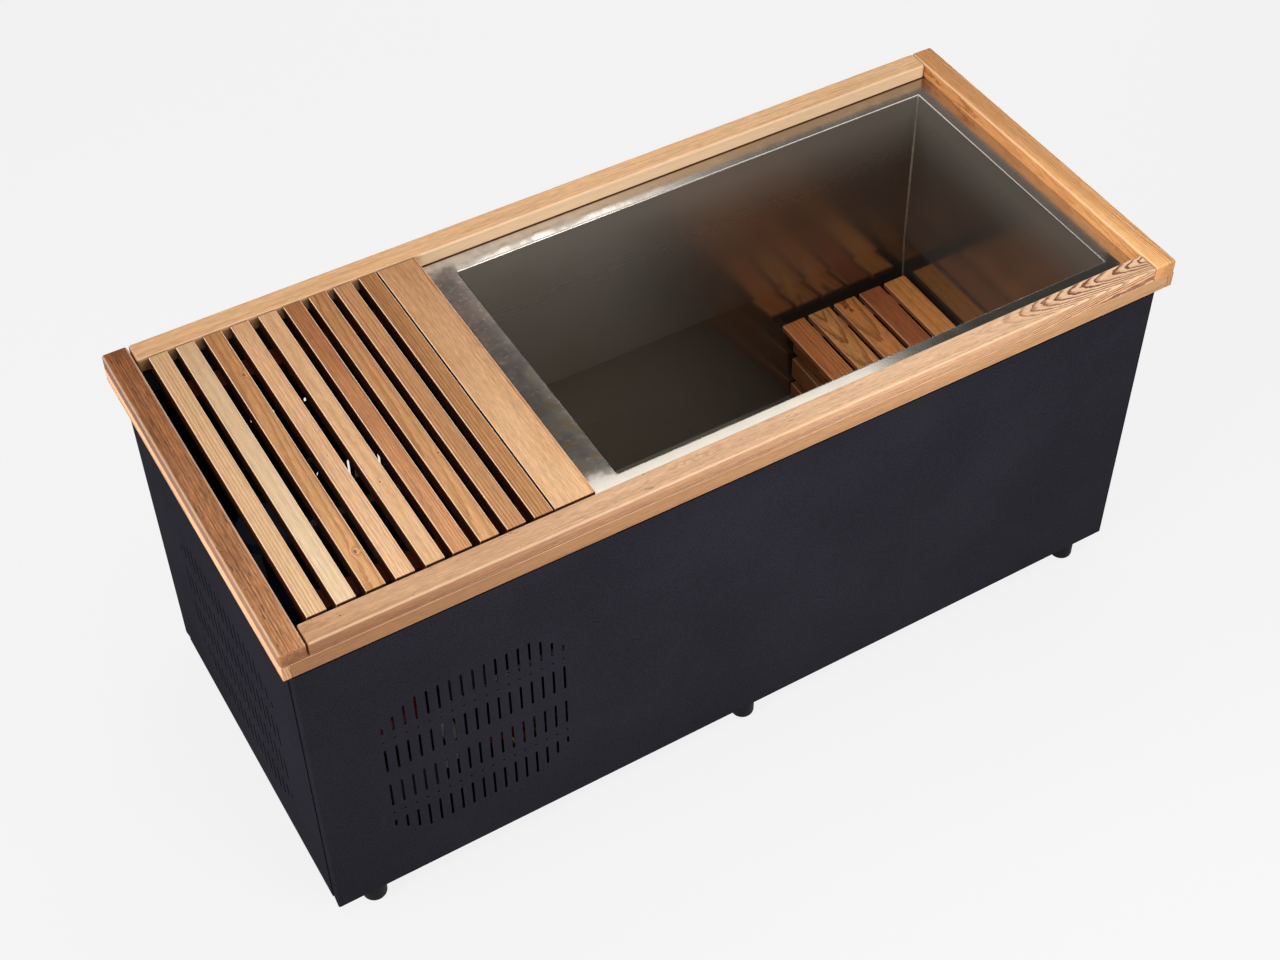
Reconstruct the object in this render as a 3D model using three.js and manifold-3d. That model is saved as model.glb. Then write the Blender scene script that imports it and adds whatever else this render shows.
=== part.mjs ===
// Cold plunge tub: a stainless basin and its chiller in one steel cabinet under a cedar top.
// Millimetres, +Z up. The origin lies on the ground below the middle of the cedar top.
// The chiller stands at the -X end, the seat at the +X end, and -Y is the front.
import * as THREE from 'three';
import { mergeVertices } from 'three/addons/utils/BufferGeometryUtils.js';
import Module from 'manifold-3d';

// Clearances
const SEAT_GAP = 0.3;          // between two pieces that rest on each other
const RUNNING_GAP = 0.05;      // round a shaft that turns
const END_PLAY = 0.3;          // at the ends of a hub that turns
const PANEL_SEAM = 1.4;        // between an end panel and the returns beside it

// Cedar top
const TOP_LENGTH = 1950;
const TOP_WIDTH = 842;
const RAIL_WIDTH = 50.5;
const RAIL_THICK = 32;
const RAIL_EASE = 4;           // radius along the upper edges of a rail
const RAIL_JOINT_LEFT = 3;     // open joint at the left end of the front and back rails
const RAIL_JOINT_RIGHT = 0.6;
const FASCIA_HEIGHT = 35;
const FASCIA_THICK = 16;

// Cabinet, set back from the edge of the cedar top by a different overhang on each side
const CABINET_HEIGHT = 738;
const OVERHANG_LEFT = 15;
const OVERHANG_RIGHT = 40;
const OVERHANG_FRONT = 1.6;
const OVERHANG_BACK = 44;
const PANEL_SHEET = 2;
const PANEL_RETURN = 28;       // depth of the folds that wrap round the corners
const PANEL_BEND = 4;          // outer radius of those folds
const BASE_SHEET = 3;

// Feet
const FOOT_HEIGHT = 50;
const FOOT_RADIUS = 25;
const FOOT_ROUND = 6;
const FOOT_FROM_END = 85;
const FOOT_FROM_FACE = 29;
const FOOT_SEGMENTS = 12;

// Vents: upright slots in four rows, with a round hole between the rows of each pair
const VENT_PITCH = 23.4;
const VENT_SLOT_WIDTH = 5;
const VENT_SLOT_HEIGHT = 70;
const VENT_DOT_RADIUS = 2.4;
const VENT_DOT_SIDES = 5;
const VENT_PAIR_GAP = 47;      // between the two rows of a pair
const VENT_MIDDLE_GAP = 39;    // between the upper and the lower pair
const VENT_CORNER_CUTS = [50, 30, 12];   // how much shorter the outer columns are
const SIDE_VENT_COLUMNS = 17;
const SIDE_VENT_FROM_LEFT = 141;         // first column, from the cabinet's left face
const SIDE_VENT_TOP_DROP = 198;          // from the top of the cabinet
const END_VENT_COLUMNS = 20;
const END_VENT_TOP_DROP = 224;

// Welded chassis
const TUBE_WIDTH = 60;
const END_TUBE_WIDTH = 30;
const TUBE_HEIGHT = 40;
const POST_SIZE = 25;

// Basin
const TUB_DEPTH = 748;
const TUB_SHEET = 2;
const TUB_BEND = 6;            // radius where the wall turns out into the flange
const BAY_LENGTH = 707;        // from the left end of the cedar top to the basin's opening
const TUB_FROM_RIGHT = 101;    // from the other edges of the cedar top to the opening
const TUB_FROM_FRONT = 98;
const TUB_FROM_BACK = 100;
const FLANGE_WIDTH = 67;
const CREASE_DEPTH = 414;      // fold across the back wall, below the flange
const CREASE_BOW = 11;         // how far the back wall leans in at the fold
const FLOOR_BOW = 3;           // and at the floor
const JACKET_THICK = 25;

// Lift-out cover
const SLAT_WIDTH = 37.5;
const SLAT_EASE = 2.5;
const SLAT_GAPS = [17.5, 18.5, 18.5, 20, 15.5, 16, 16, 17];   // between one slat and the next
const COVER_LEFT_GAP = 24.5;
const COVER_FRONT_GAP = 3.5;
const COVER_BACK_GAP = 2;
const PLANK_GAP = 3.5;
const PLANK_WIDTH = 83;
const BATTEN_WIDTH = 48;
const BATTEN_THICK = 22;
const BATTEN_INSET = 6;        // from the chassis tube to the batten

// Seat
const SEAT_HEIGHT = 247;
const SEAT_SLAT_WIDTH = 59;
const SEAT_SLAT_THICK = 14;
const SEAT_SLAT_GAP = 12.75;
const SEAT_SLAT_COUNT = 5;
const SEAT_SLAT_EASE = 3;
const SEAT_FROM_FRONT = 27;    // from the basin's walls at the rim to the seat
const SEAT_FROM_BACK = 35;
const SEAT_FROM_RIGHT = 12;
const SEAT_OVERHANG = 34;      // of the top over the side slats
const SIDE_SLAT_THICK = 15;
const SIDE_SLAT_HEIGHTS = [57, 57, 37];
const SIDE_SLAT_GAP = 25;
const SIDE_SLAT_DROP = 25;     // from the underside of the top to the first side slat
const SEAT_LEG = 38;
const SEAT_FRAME_INSET = 26;   // from the ends of the slats to the end frames
const SEAT_FRAME_SET_IN = 20;  // from the right edge of the top to the legs

// Chiller and water circuit. Distances along X are from the cabinet's left face, along Y from its front
// face and along Z from the base pan.
const PIPE_RADIUS = 17;
const PIPE_SIDES = 8;
const PIPE_ELBOW = 40;
const COPPER_RADIUS = 6;
const COPPER_ELBOW = 14;
const FITTING_RADIUS = 40;
const FITTING_FACE = 7;
const FITTING_TAIL = 20;       // of a fitting, out of the jacket
const SUCTION_Y = 230;
const SUCTION_Z = 130;
const RETURN_Y = 478;
const RETURN_Z = 522;
const ROUND_SIDES = 12;
const SHAFT_SIDES = 24;
const COMPRESSOR_RADIUS = 75;
const COMPRESSOR_HEIGHT = 300;
const COMPRESSOR_X = 420;
const COMPRESSOR_FROM_FAN = 35;          // between the shell and the fan's motor
const COIL_X = 330;            // middle of the coil and of its fan
const COIL_WIDTH = 400;
const COIL_HEIGHT = 420;
const COIL_LEGS = 115;
const COIL_DEPTH = 44;
const COIL_FROM_BACK = 10;     // from the back panel
const COIL_WALL = 3;
const COIL_FINS = 11;
const FIN_THICK = 2;
const SHROUD_DEPTH = 60;       // of the ring round the fan
const FAN_RADIUS = 160;
const FAN_TIP_GAP = 8;
const FAN_BLADES = 5;
const BLADE_WIDTH = 80;
const BLADE_THICK = 3;
const BLADE_PITCH = 24;        // degrees
const FAN_HUB_RADIUS = 38;
const FAN_HUB_DEPTH = 34;
const FAN_SHAFT_RADIUS = 8;
const MOTOR_RADIUS = 36;
const MOTOR_LENGTH = 42;
const MOTOR_BAR = 8;
const FILTER_X = 135;
const FILTER_RADIUS = 62;
const FILTER_STAND = 210;
const FILTER_HEIGHT = 370;
const FILTER_PORT = 20;        // length of the ports beside the housing
const EXCHANGER_X = 135;
const EXCHANGER_Y = 42;
const EXCHANGER_WIDTH = 135;
const EXCHANGER_DEPTH = 135;
const EXCHANGER_HEIGHT = 296;
const EXCHANGER_ROUND = 10;
const PUMP_RADIUS = 46;
const PUMP_LENGTH = 110;
const PUMP_FOOT = 30;          // from the exchanger to the underside of the pump's body
const PUMP_PORT_X = 30;        // from the left end of the pump
const CONTROL_X = 285;
const CONTROL_Y = 30;
const CONTROL_WIDTH = 90;
const CONTROL_DEPTH = 70;
const CONTROL_HEIGHT = 130;
const CONTROL_TOP = 560;
const STRAP_THICK = 3;
const STRAP_WIDTH = 40;
const VALVE_Y = 140;
const VALVE_RADIUS = 17;
const VALVE_LENGTH = 210;      // of the drain outside the jacket
const VALVE_ABOVE_FLOOR = 36;
const VALVE_BODY = 27;
const VALVE_STEM_RADIUS = 6;
const LEVER_LENGTH = 95;
const LEVER_WIDTH = 18;
const LEVER_THICK = 8;
const LEVER_HUB_RADIUS = 12;
const GLAND_X = 590;
const GLAND_Z = 90;
const GLAND_RADIUS = 11;

// Levels and faces that follow from the sizes above
const CABINET_BOTTOM = FOOT_HEIGHT;
const CABINET_TOP = CABINET_BOTTOM + CABINET_HEIGHT;
const RAIL_BOTTOM = CABINET_TOP + FASCIA_HEIGHT;
const RAIL_TOP = RAIL_BOTTOM + RAIL_THICK;
const FLANGE_TOP = RAIL_BOTTOM - SEAT_GAP;
const CHASSIS_TOP = FLANGE_TOP - TUB_SHEET - SEAT_GAP;
const CHASSIS_BOTTOM = CHASSIS_TOP - TUBE_HEIGHT;
const BASE_TOP = CABINET_BOTTOM + BASE_SHEET;
const ON_BASE = BASE_TOP + SEAT_GAP;
const FLOOR_TOP = FLANGE_TOP - TUB_DEPTH;
const LEFT = -TOP_LENGTH / 2;
const RIGHT = TOP_LENGTH / 2;
const FRONT = -TOP_WIDTH / 2;
const BACK = TOP_WIDTH / 2;
const CABINET = {
  left: LEFT + OVERHANG_LEFT,
  right: RIGHT - OVERHANG_RIGHT,
  front: FRONT + OVERHANG_FRONT,
  back: BACK - OVERHANG_BACK,
};
const INSIDE = {
  left: CABINET.left + PANEL_SHEET + SEAT_GAP,
  right: CABINET.right - PANEL_SHEET - SEAT_GAP,
  front: CABINET.front + PANEL_SHEET + SEAT_GAP,
  back: CABINET.back - PANEL_SHEET - SEAT_GAP,
};
// The chassis stands clear of the panels' bends, and behind the front fascia.
const CHASSIS = {
  left: CABINET.left + PANEL_BEND,
  right: CABINET.right - PANEL_BEND,
  front: Math.max(CABINET.front + PANEL_BEND, FRONT + FASCIA_THICK + SEAT_GAP),
  back: CABINET.back - PANEL_BEND,
};
const TUB = {
  left: LEFT + BAY_LENGTH,
  right: RIGHT - TUB_FROM_RIGHT,
  front: FRONT + TUB_FROM_FRONT,
  back: BACK - TUB_FROM_BACK,
};
const TUB_LENGTH = TUB.right - TUB.left;
const TUB_WIDTH = TUB.back - TUB.front;
const OUTSIDE_TUB = TUB_SHEET + SEAT_GAP;
const JACKET_LEFT = TUB.left - OUTSIDE_TUB - JACKET_THICK;
const JACKET_TOP = CHASSIS_BOTTOM - SEAT_GAP;

const wasm = await Module();
wasm.setup();

// Materials by finish
const finish = (color, roughness, metalness) =>
  new THREE.MeshStandardMaterial({ color, roughness, metalness });
const coated = finish(0x26252b, 0.62, 0.15);
const galvanised = finish(0x8e9092, 0.5, 0.8);
const stainless = finish(0x8a857e, 0.28, 1.0);
const blackRubber = finish(0x121214, 0.75, 0.0);
const foam = finish(0xc9c2ac, 0.95, 0.0);
const blackPaint = finish(0x17181a, 0.4, 0.3);
const aluminium = finish(0xb4b6b8, 0.45, 0.9);
const copper = finish(0xb06a40, 0.35, 1.0);
const bluePlastic = finish(0x1d4fa8, 0.35, 0.0);
const redPaint = finish(0xb4231f, 0.4, 0.1);
const greyPlastic = finish(0xcfd0cf, 0.5, 0.0);
const whitePipe = finish(0xe6e4de, 0.4, 0.0);
const brass = finish(0xb99446, 0.35, 0.9);
const cedar = (color) => finish(color, 0.6, 0.0);

// A closed three.js geometry as a solid that can be cut and joined.
function solid(geometry) {
  const bare = geometry.index ? geometry.toNonIndexed() : geometry.clone();
  bare.deleteAttribute('normal');
  bare.deleteAttribute('uv');
  const merged = mergeVertices(bare, 1e-4);
  return new wasm.Manifold(new wasm.Mesh({
    numProp: 3,
    vertProperties: new Float32Array(merged.attributes.position.array),
    triVerts: new Uint32Array(merged.index.array),
  }));
}

// A solid back as a three.js geometry.
function toGeometry(body) {
  const mesh = body.getMesh();
  const geometry = new THREE.BufferGeometry();
  geometry.setAttribute('position', new THREE.BufferAttribute(mesh.vertProperties, 3));
  geometry.setIndex(new THREE.BufferAttribute(mesh.triVerts, 1));
  geometry.computeVertexNormals();
  return geometry;
}

function join(geometries) {
  return toGeometry(geometries.map(solid).reduce((whole, next) => whole.add(next)));
}

function cut(geometry, tools) {
  return toGeometry(tools.map(solid).reduce((whole, tool) => whole.subtract(tool), solid(geometry)));
}

function block(x0, x1, y0, y1, z0, z1) {
  return new THREE.BoxGeometry(x1 - x0, y1 - y0, z1 - z0)
    .translate((x0 + x1) / 2, (y0 + y1) / 2, (z0 + z1) / 2);
}

// Axes for a section that is drawn across the length of a piece.
const AXES = {
  x: [new THREE.Vector3(0, 1, 0), new THREE.Vector3(0, 0, 1), new THREE.Vector3(1, 0, 0)],
  y: [new THREE.Vector3(-1, 0, 0), new THREE.Vector3(0, 0, 1), new THREE.Vector3(0, 1, 0)],
  z: [new THREE.Vector3(1, 0, 0), new THREE.Vector3(0, 1, 0), new THREE.Vector3(0, 0, 1)],
};

function extrudeAlong(axis, shape, length, curveSegments = 3) {
  return new THREE.ExtrudeGeometry(shape, { depth: length, bevelEnabled: false, curveSegments })
    .translate(0, 0, -length / 2)
    .applyMatrix4(new THREE.Matrix4().makeBasis(...AXES[axis]));
}

// A board about its own middle, with its two upper long edges eased.
function boardGeometry(axis, length, width, thick, ease) {
  const half = width / 2;
  const shape = new THREE.Shape();
  shape.moveTo(-half, -thick / 2);
  shape.lineTo(half, -thick / 2);
  shape.lineTo(half, thick / 2 - ease);
  shape.absarc(half - ease, thick / 2 - ease, ease, 0, Math.PI / 2, false);
  shape.lineTo(-half + ease, thick / 2);
  shape.absarc(-half + ease, thick / 2 - ease, ease, Math.PI / 2, Math.PI, false);
  shape.closePath();
  return extrudeAlong(axis, shape, length, 2);
}

// A block about its own middle with its four upright edges rounded.
function roundedBlock(width, depth, height, radius) {
  const x = width / 2 - radius;
  const y = depth / 2 - radius;
  const quarter = Math.PI / 2;
  const shape = new THREE.Shape();
  shape.absarc(x, -y, radius, -quarter, 0, false);
  shape.absarc(x, y, radius, 0, quarter, false);
  shape.absarc(-x, y, radius, quarter, 2 * quarter, false);
  shape.absarc(-x, -y, radius, 2 * quarter, 3 * quarter, false);
  shape.closePath();
  return extrudeAlong('z', shape, height, 2);
}

// A revolved piece about +Z, then turned so that its axis lies along the one named.
function revolved(profile, segments, axis = 'z') {
  const points = profile.map(([radius, height]) => new THREE.Vector2(radius, height));
  return new THREE.LatheGeometry(points, segments)
    .rotateX(Math.PI / 2)
    .applyMatrix4(new THREE.Matrix4().makeBasis(...AXES[axis]));
}

function rod(radius, length, segments, axis) {
  return revolved([[0, 0], [radius, 0], [radius, length], [0, length]], segments, axis);
}

// The bore for a shaft: its flats, and not only its corners, clear the shaft all the way round.
function boreRadius(shaft) {
  return (shaft + RUNNING_GAP) / Math.cos(Math.PI / SHAFT_SIDES);
}

// A profile carried round a rectangle with mitred corners: a four-sided lathe, pulled out to length
// and width. Profile radii are measured out from the rectangle.
function mitredRing(profile, length, width) {
  const points = profile.map(([out, height]) => new THREE.Vector2(out * Math.SQRT2, height));
  const geometry = new THREE.LatheGeometry(points, 4, Math.PI / 4).rotateX(Math.PI / 2);
  const places = geometry.attributes.position;
  for (let i = 0; i < places.count; i += 1) {
    const x = places.getX(i);
    const y = places.getY(i);
    const onAxis = Math.hypot(x, y) < 1e-6;
    if (!onAxis) places.setXY(i, x + Math.sign(x) * length / 2, y + Math.sign(y) * width / 2);
  }
  return geometry;
}

// A pipe through corner points, with a round elbow at each corner.
function pipe(corners, radius, elbow, steps) {
  const path = new THREE.CurvePath();
  let from = corners[0];
  for (let i = 1; i < corners.length - 1; i += 1) {
    const corner = corners[i];
    const before = corner.clone().add(from.clone().sub(corner).setLength(elbow));
    const after = corner.clone().add(corners[i + 1].clone().sub(corner).setLength(elbow));
    path.add(new THREE.LineCurve3(from, before));
    path.add(new THREE.QuadraticBezierCurve3(before, corner, after));
    from = after;
  }
  path.add(new THREE.LineCurve3(from, corners[corners.length - 1]));
  const section = new THREE.Shape();
  section.absarc(0, 0, radius, 0, 2 * Math.PI, false);
  return new THREE.ExtrudeGeometry(section, {
    steps,
    extrudePath: path,
    curveSegments: PIPE_SIDES / 2,
    bevelEnabled: false,
  });
}

const tub = new THREE.Group();
tub.name = 'cold_plunge_tub';

function part(group, name, geometry, material, x = 0, y = 0, z = 0) {
  const mesh = new THREE.Mesh(geometry, material);
  mesh.name = name;
  mesh.position.set(x, y, z);
  group.add(mesh);
  return mesh;
}

// Feet, three along each long side
const feet = new THREE.Group();
tub.add(feet);
const footProfile = [
  [0, 0], [FOOT_RADIUS - FOOT_ROUND, 0], [FOOT_RADIUS - FOOT_ROUND * 0.3, FOOT_ROUND * 0.3],
  [FOOT_RADIUS, FOOT_ROUND], [FOOT_RADIUS, FOOT_HEIGHT - SEAT_GAP], [0, FOOT_HEIGHT - SEAT_GAP],
];
const footColumns = {
  left: CABINET.left + FOOT_FROM_END,
  middle: (CABINET.left + CABINET.right) / 2,
  right: CABINET.right - FOOT_FROM_END,
};
const footRows = { front: CABINET.front + FOOT_FROM_FACE, back: CABINET.back - FOOT_FROM_FACE };
for (const [row, y] of Object.entries(footRows)) {
  for (const [column, x] of Object.entries(footColumns)) {
    part(feet, `foot_${row}_${column}`, revolved(footProfile, FOOT_SEGMENTS), blackRubber, x, y, 0);
  }
}

// Cabinet panels
const cabinet = new THREE.Group();
tub.add(cabinet);

function slotPath(u, low, high) {
  const half = VENT_SLOT_WIDTH / 2;
  const path = new THREE.Path();
  path.moveTo(u, low);
  path.lineTo(u + half, low + half);
  path.lineTo(u + half, high - half);
  path.lineTo(u, high);
  path.lineTo(u - half, high - half);
  path.lineTo(u - half, low + half);
  path.closePath();
  return path;
}

function dotPath(u, v) {
  const path = new THREE.Path();
  for (let i = 0; i < VENT_DOT_SIDES; i += 1) {
    const turn = (2 * Math.PI * i) / VENT_DOT_SIDES;
    const place = [u + VENT_DOT_RADIUS * Math.cos(turn), v + VENT_DOT_RADIUS * Math.sin(turn)];
    if (i === 0) path.moveTo(...place);
    else path.lineTo(...place);
  }
  path.closePath();
  return path;
}

// The holes of one vent, from its first column and the top of its first row.
function ventHoles(columns, first, top) {
  const holes = [];
  const pairStep = VENT_SLOT_HEIGHT + VENT_PAIR_GAP;
  const lowerPair = top - pairStep - VENT_SLOT_HEIGHT - VENT_MIDDLE_GAP;
  for (let i = 0; i < columns; i += 1) {
    const u = first + i * VENT_PITCH;
    const shortened = VENT_CORNER_CUTS[Math.min(i, columns - 1 - i)] ?? 0;
    for (const [pairTop, upperCut, lowerCut] of [[top, shortened, 0], [lowerPair, 0, shortened]]) {
      const secondTop = pairTop - pairStep;
      holes.push(slotPath(u, pairTop - VENT_SLOT_HEIGHT, pairTop - upperCut));
      holes.push(dotPath(u, pairTop - VENT_SLOT_HEIGHT - VENT_PAIR_GAP / 2));
      holes.push(slotPath(u, secondTop - VENT_SLOT_HEIGHT + lowerCut, secondTop));
    }
  }
  return holes;
}

// A flat sheet about the middle of its thickness; u runs along the panel and v is the height.
function sheet(u0, u1, holes) {
  const shape = new THREE.Shape();
  shape.moveTo(u0, CABINET_BOTTOM);
  shape.lineTo(u1, CABINET_BOTTOM);
  shape.lineTo(u1, CABINET_TOP);
  shape.lineTo(u0, CABINET_TOP);
  shape.closePath();
  shape.holes.push(...holes);
  return shape;
}

// A long panel with a fold round the corner at each end: a bent section run up the height, then pierced.
function longPanel(face, mirrored) {
  const { left, right } = CABINET;
  const section = new THREE.Shape();
  section.moveTo(left, PANEL_RETURN);
  section.absarc(left + PANEL_BEND, PANEL_BEND, PANEL_BEND, Math.PI, 1.5 * Math.PI, false);
  section.absarc(right - PANEL_BEND, PANEL_BEND, PANEL_BEND, 1.5 * Math.PI, 2 * Math.PI, false);
  section.lineTo(right, PANEL_RETURN);
  section.lineTo(right - PANEL_SHEET, PANEL_RETURN);
  const inner = PANEL_BEND - PANEL_SHEET;
  section.absarc(right - PANEL_BEND, PANEL_BEND, inner, 2 * Math.PI, 1.5 * Math.PI, true);
  section.absarc(left + PANEL_BEND, PANEL_BEND, inner, 1.5 * Math.PI, Math.PI, true);
  section.lineTo(left + PANEL_SHEET, PANEL_RETURN);
  section.closePath();
  const bent = extrudeAlong('z', section, CABINET_HEIGHT, 2)
    .translate(0, 0, CABINET_BOTTOM + CABINET_HEIGHT / 2);
  const first = left + SIDE_VENT_FROM_LEFT;
  const holes = ventHoles(SIDE_VENT_COLUMNS, first, CABINET_TOP - SIDE_VENT_TOP_DROP);
  const punches = new THREE.ExtrudeGeometry(
    holes.map((hole) => new THREE.Shape(hole.getPoints(1))),
    { depth: 3 * PANEL_SHEET, bevelEnabled: false },
  ).rotateX(Math.PI / 2).translate(0, 2 * PANEL_SHEET, 0);
  const pierced = solid(bent).subtract(solid(punches));
  const placed = mirrored ? pierced.mirror([0, 1, 0]) : pierced;
  return toGeometry(placed).translate(0, face, 0);
}

const endFront = CABINET.front + PANEL_RETURN + PANEL_SEAM;
const endBack = CABINET.back - PANEL_RETURN - PANEL_SEAM;
const endVentWidth = (END_VENT_COLUMNS - 1) * VENT_PITCH;
const endVentFirst = (endFront + endBack - endVentWidth) / 2;
const endHoles = ventHoles(END_VENT_COLUMNS, endVentFirst, CABINET_TOP - END_VENT_TOP_DROP);
const leftSheet = extrudeAlong('x', sheet(endFront, endBack, endHoles), PANEL_SHEET);
const rightSheet = extrudeAlong('x', sheet(endFront, endBack, []), PANEL_SHEET);
part(cabinet, 'front_panel', longPanel(CABINET.front, false), coated);
const glandX = CABINET.left + GLAND_X;
const glandZ = CABINET_BOTTOM + GLAND_Z;
const glandHole = rod(GLAND_RADIUS + SEAT_GAP, 40, 10, 'y').translate(glandX, CABINET.back - 20, glandZ);
part(cabinet, 'back_panel', cut(longPanel(CABINET.back, true), [glandHole]), coated);
part(cabinet, 'left_panel', leftSheet, coated, CABINET.left + PANEL_SHEET / 2);
part(cabinet, 'right_panel', rightSheet, coated, CABINET.right - PANEL_SHEET / 2);
const pan = roundedBlock(INSIDE.right - INSIDE.left, INSIDE.back - INSIDE.front, BASE_SHEET, PANEL_BEND);
part(
  cabinet, 'base_pan', pan, galvanised,
  (INSIDE.left + INSIDE.right) / 2, (INSIDE.front + INSIDE.back) / 2, CABINET_BOTTOM + BASE_SHEET / 2,
);
const glandIn = 10;
const glandProfile = [
  [0, 0], [GLAND_RADIUS, 0], [GLAND_RADIUS, glandIn], [GLAND_RADIUS + 5, glandIn],
  [GLAND_RADIUS + 5, glandIn + 10], [GLAND_RADIUS - 2, glandIn + 20], [0, glandIn + 20],
];
part(
  cabinet, 'cable_gland', revolved(glandProfile, 10, 'y'), blackRubber,
  glandX, CABINET.back + SEAT_GAP - glandIn, glandZ,
);

// Welded chassis: a ring of tube on six posts, with a crossbar between the compartment and the basin
const chassis = new THREE.Group();
tub.add(chassis);
const bendRoom = TUB_BEND + SEAT_GAP;
const crossbarRight = TUB.left - bendRoom;
const crossbarLeft = crossbarRight - TUBE_WIDTH;
const tube = (x0, x1, y0, y1) => block(x0, x1, y0, y1, CHASSIS_BOTTOM, CHASSIS_TOP);
const frontTubeBack = CHASSIS.front + TUBE_WIDTH;
const backTubeFront = CHASSIS.back - TUBE_WIDTH;
const leftTubeRight = CHASSIS.left + END_TUBE_WIDTH;
const tubes = [
  tube(CHASSIS.left, CHASSIS.right, CHASSIS.front, frontTubeBack),
  tube(CHASSIS.left, CHASSIS.right, backTubeFront, CHASSIS.back),
  tube(CHASSIS.left, leftTubeRight, CHASSIS.front, CHASSIS.back),
  tube(CHASSIS.right - END_TUBE_WIDTH, CHASSIS.right, CHASSIS.front, CHASSIS.back),
  tube(crossbarLeft, crossbarRight, CHASSIS.front, CHASSIS.back),
];
const postColumns = [CHASSIS.left, crossbarLeft, CHASSIS.right - POST_SIZE];
const postRows = [CHASSIS.front, CHASSIS.back - POST_SIZE];
const posts = postColumns.flatMap((x) => postRows.map((y) =>
  block(x, x + POST_SIZE, y, y + POST_SIZE, ON_BASE, CHASSIS_BOTTOM + 1)));
// A packing strip lifts the left tube to the level of the flange, to carry the left rail.
const packing = block(
  CHASSIS.left, LEFT + RAIL_WIDTH - 4, CHASSIS.front, CHASSIS.back, CHASSIS_TOP - 1, RAIL_BOTTOM - SEAT_GAP,
);
const basinRoom = block(
  TUB.left - bendRoom, TUB.right + bendRoom, TUB.front - bendRoom, TUB.back + bendRoom,
  CHASSIS_BOTTOM - 1, CHASSIS_TOP + 1,
);
part(chassis, 'chassis_frame', cut(join([...tubes, ...posts, packing]), [basinRoom]), galvanised);

// Fittings through the basin's left wall
const suctionY = CABINET.front + SUCTION_Y;
const suctionZ = BASE_TOP + SUCTION_Z;
const returnY = CABINET.front + RETURN_Y;
const returnZ = BASE_TOP + RETURN_Z;
const valveY = CABINET.front + VALVE_Y;
const valveZ = FLOOR_TOP + VALVE_ABOVE_FLOOR;
const wallHoles = [
  [PIPE_RADIUS, suctionY, suctionZ],
  [PIPE_RADIUS, returnY, returnZ],
  [VALVE_RADIUS, valveY, valveZ],
];
const drills = wallHoles.map(([radius, y, z]) =>
  rod(radius + 2 * SEAT_GAP, 2 * (JACKET_THICK + 10), ROUND_SIDES, 'x')
    .translate(JACKET_LEFT - 10, y, z));

// Basin: wall, bend and flange as one profile carried round a rectangle, and a floor
const basin = new THREE.Group();
tub.add(basin);
const creaseZ = FLANGE_TOP - CREASE_DEPTH;
const FLOOR_LIP = 40;

function basinGeometry() {
  const bend = [0, 1, 2, 3].map((step) => {
    const turn = (Math.PI / 2) * (1 - step / 3);
    return [TUB_BEND * (1 - Math.cos(turn)), FLANGE_TOP - TUB_BEND * (1 - Math.sin(turn))];
  });
  const profile = [
    [-FLOOR_LIP, FLOOR_TOP - TUB_SHEET], [TUB_SHEET, FLOOR_TOP - TUB_SHEET], [TUB_SHEET, creaseZ],
    [TUB_SHEET, FLANGE_TOP - TUB_BEND], [TUB_BEND, FLANGE_TOP - TUB_SHEET],
    [FLANGE_WIDTH, FLANGE_TOP - TUB_SHEET], [FLANGE_WIDTH, FLANGE_TOP],
    ...bend, [0, creaseZ], [0, FLOOR_TOP], [-FLOOR_LIP, FLOOR_TOP], [-FLOOR_LIP, FLOOR_TOP - TUB_SHEET],
  ];
  // Measured from a rectangle just inside the lip, so that every distance is positive.
  const inset = FLOOR_LIP + 1;
  const ring = mitredRing(
    profile.map(([out, height]) => [out + inset, height]),
    TUB_LENGTH - 2 * inset, TUB_WIDTH - 2 * inset,
  );
  const places = ring.attributes.position;
  for (let i = 0; i < places.count; i += 1) {
    const z = places.getZ(i);
    const onBackWall = places.getY(i) > TUB_WIDTH / 2 - 1;
    if (onBackWall && Math.abs(z - creaseZ) < 1) places.setY(i, places.getY(i) - CREASE_BOW);
    if (onBackWall && z < FLOOR_TOP + 1) places.setY(i, places.getY(i) - FLOOR_BOW);
  }
  const reach = FLOOR_LIP - 10;
  const floor = block(
    -TUB_LENGTH / 2 + reach, TUB_LENGTH / 2 - reach, -TUB_WIDTH / 2 + reach, TUB_WIDTH / 2 - reach,
    FLOOR_TOP - TUB_SHEET, FLOOR_TOP,
  );
  return join([ring, floor]).translate((TUB.left + TUB.right) / 2, (TUB.front + TUB.back) / 2, 0);
}
part(basin, 'basin', cut(basinGeometry(), drills), stainless);
const grown = OUTSIDE_TUB + JACKET_THICK;
const jacket = cut(
  block(TUB.left - grown, TUB.right + grown, TUB.front - grown, TUB.back + grown, ON_BASE, JACKET_TOP),
  [
    block(
      TUB.left - OUTSIDE_TUB, TUB.right + OUTSIDE_TUB, TUB.front - OUTSIDE_TUB, TUB.back + OUTSIDE_TUB,
      FLOOR_TOP - OUTSIDE_TUB, JACKET_TOP + 1,
    ),
    ...drills,
  ],
);
part(basin, 'basin_jacket', jacket, foam);

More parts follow.
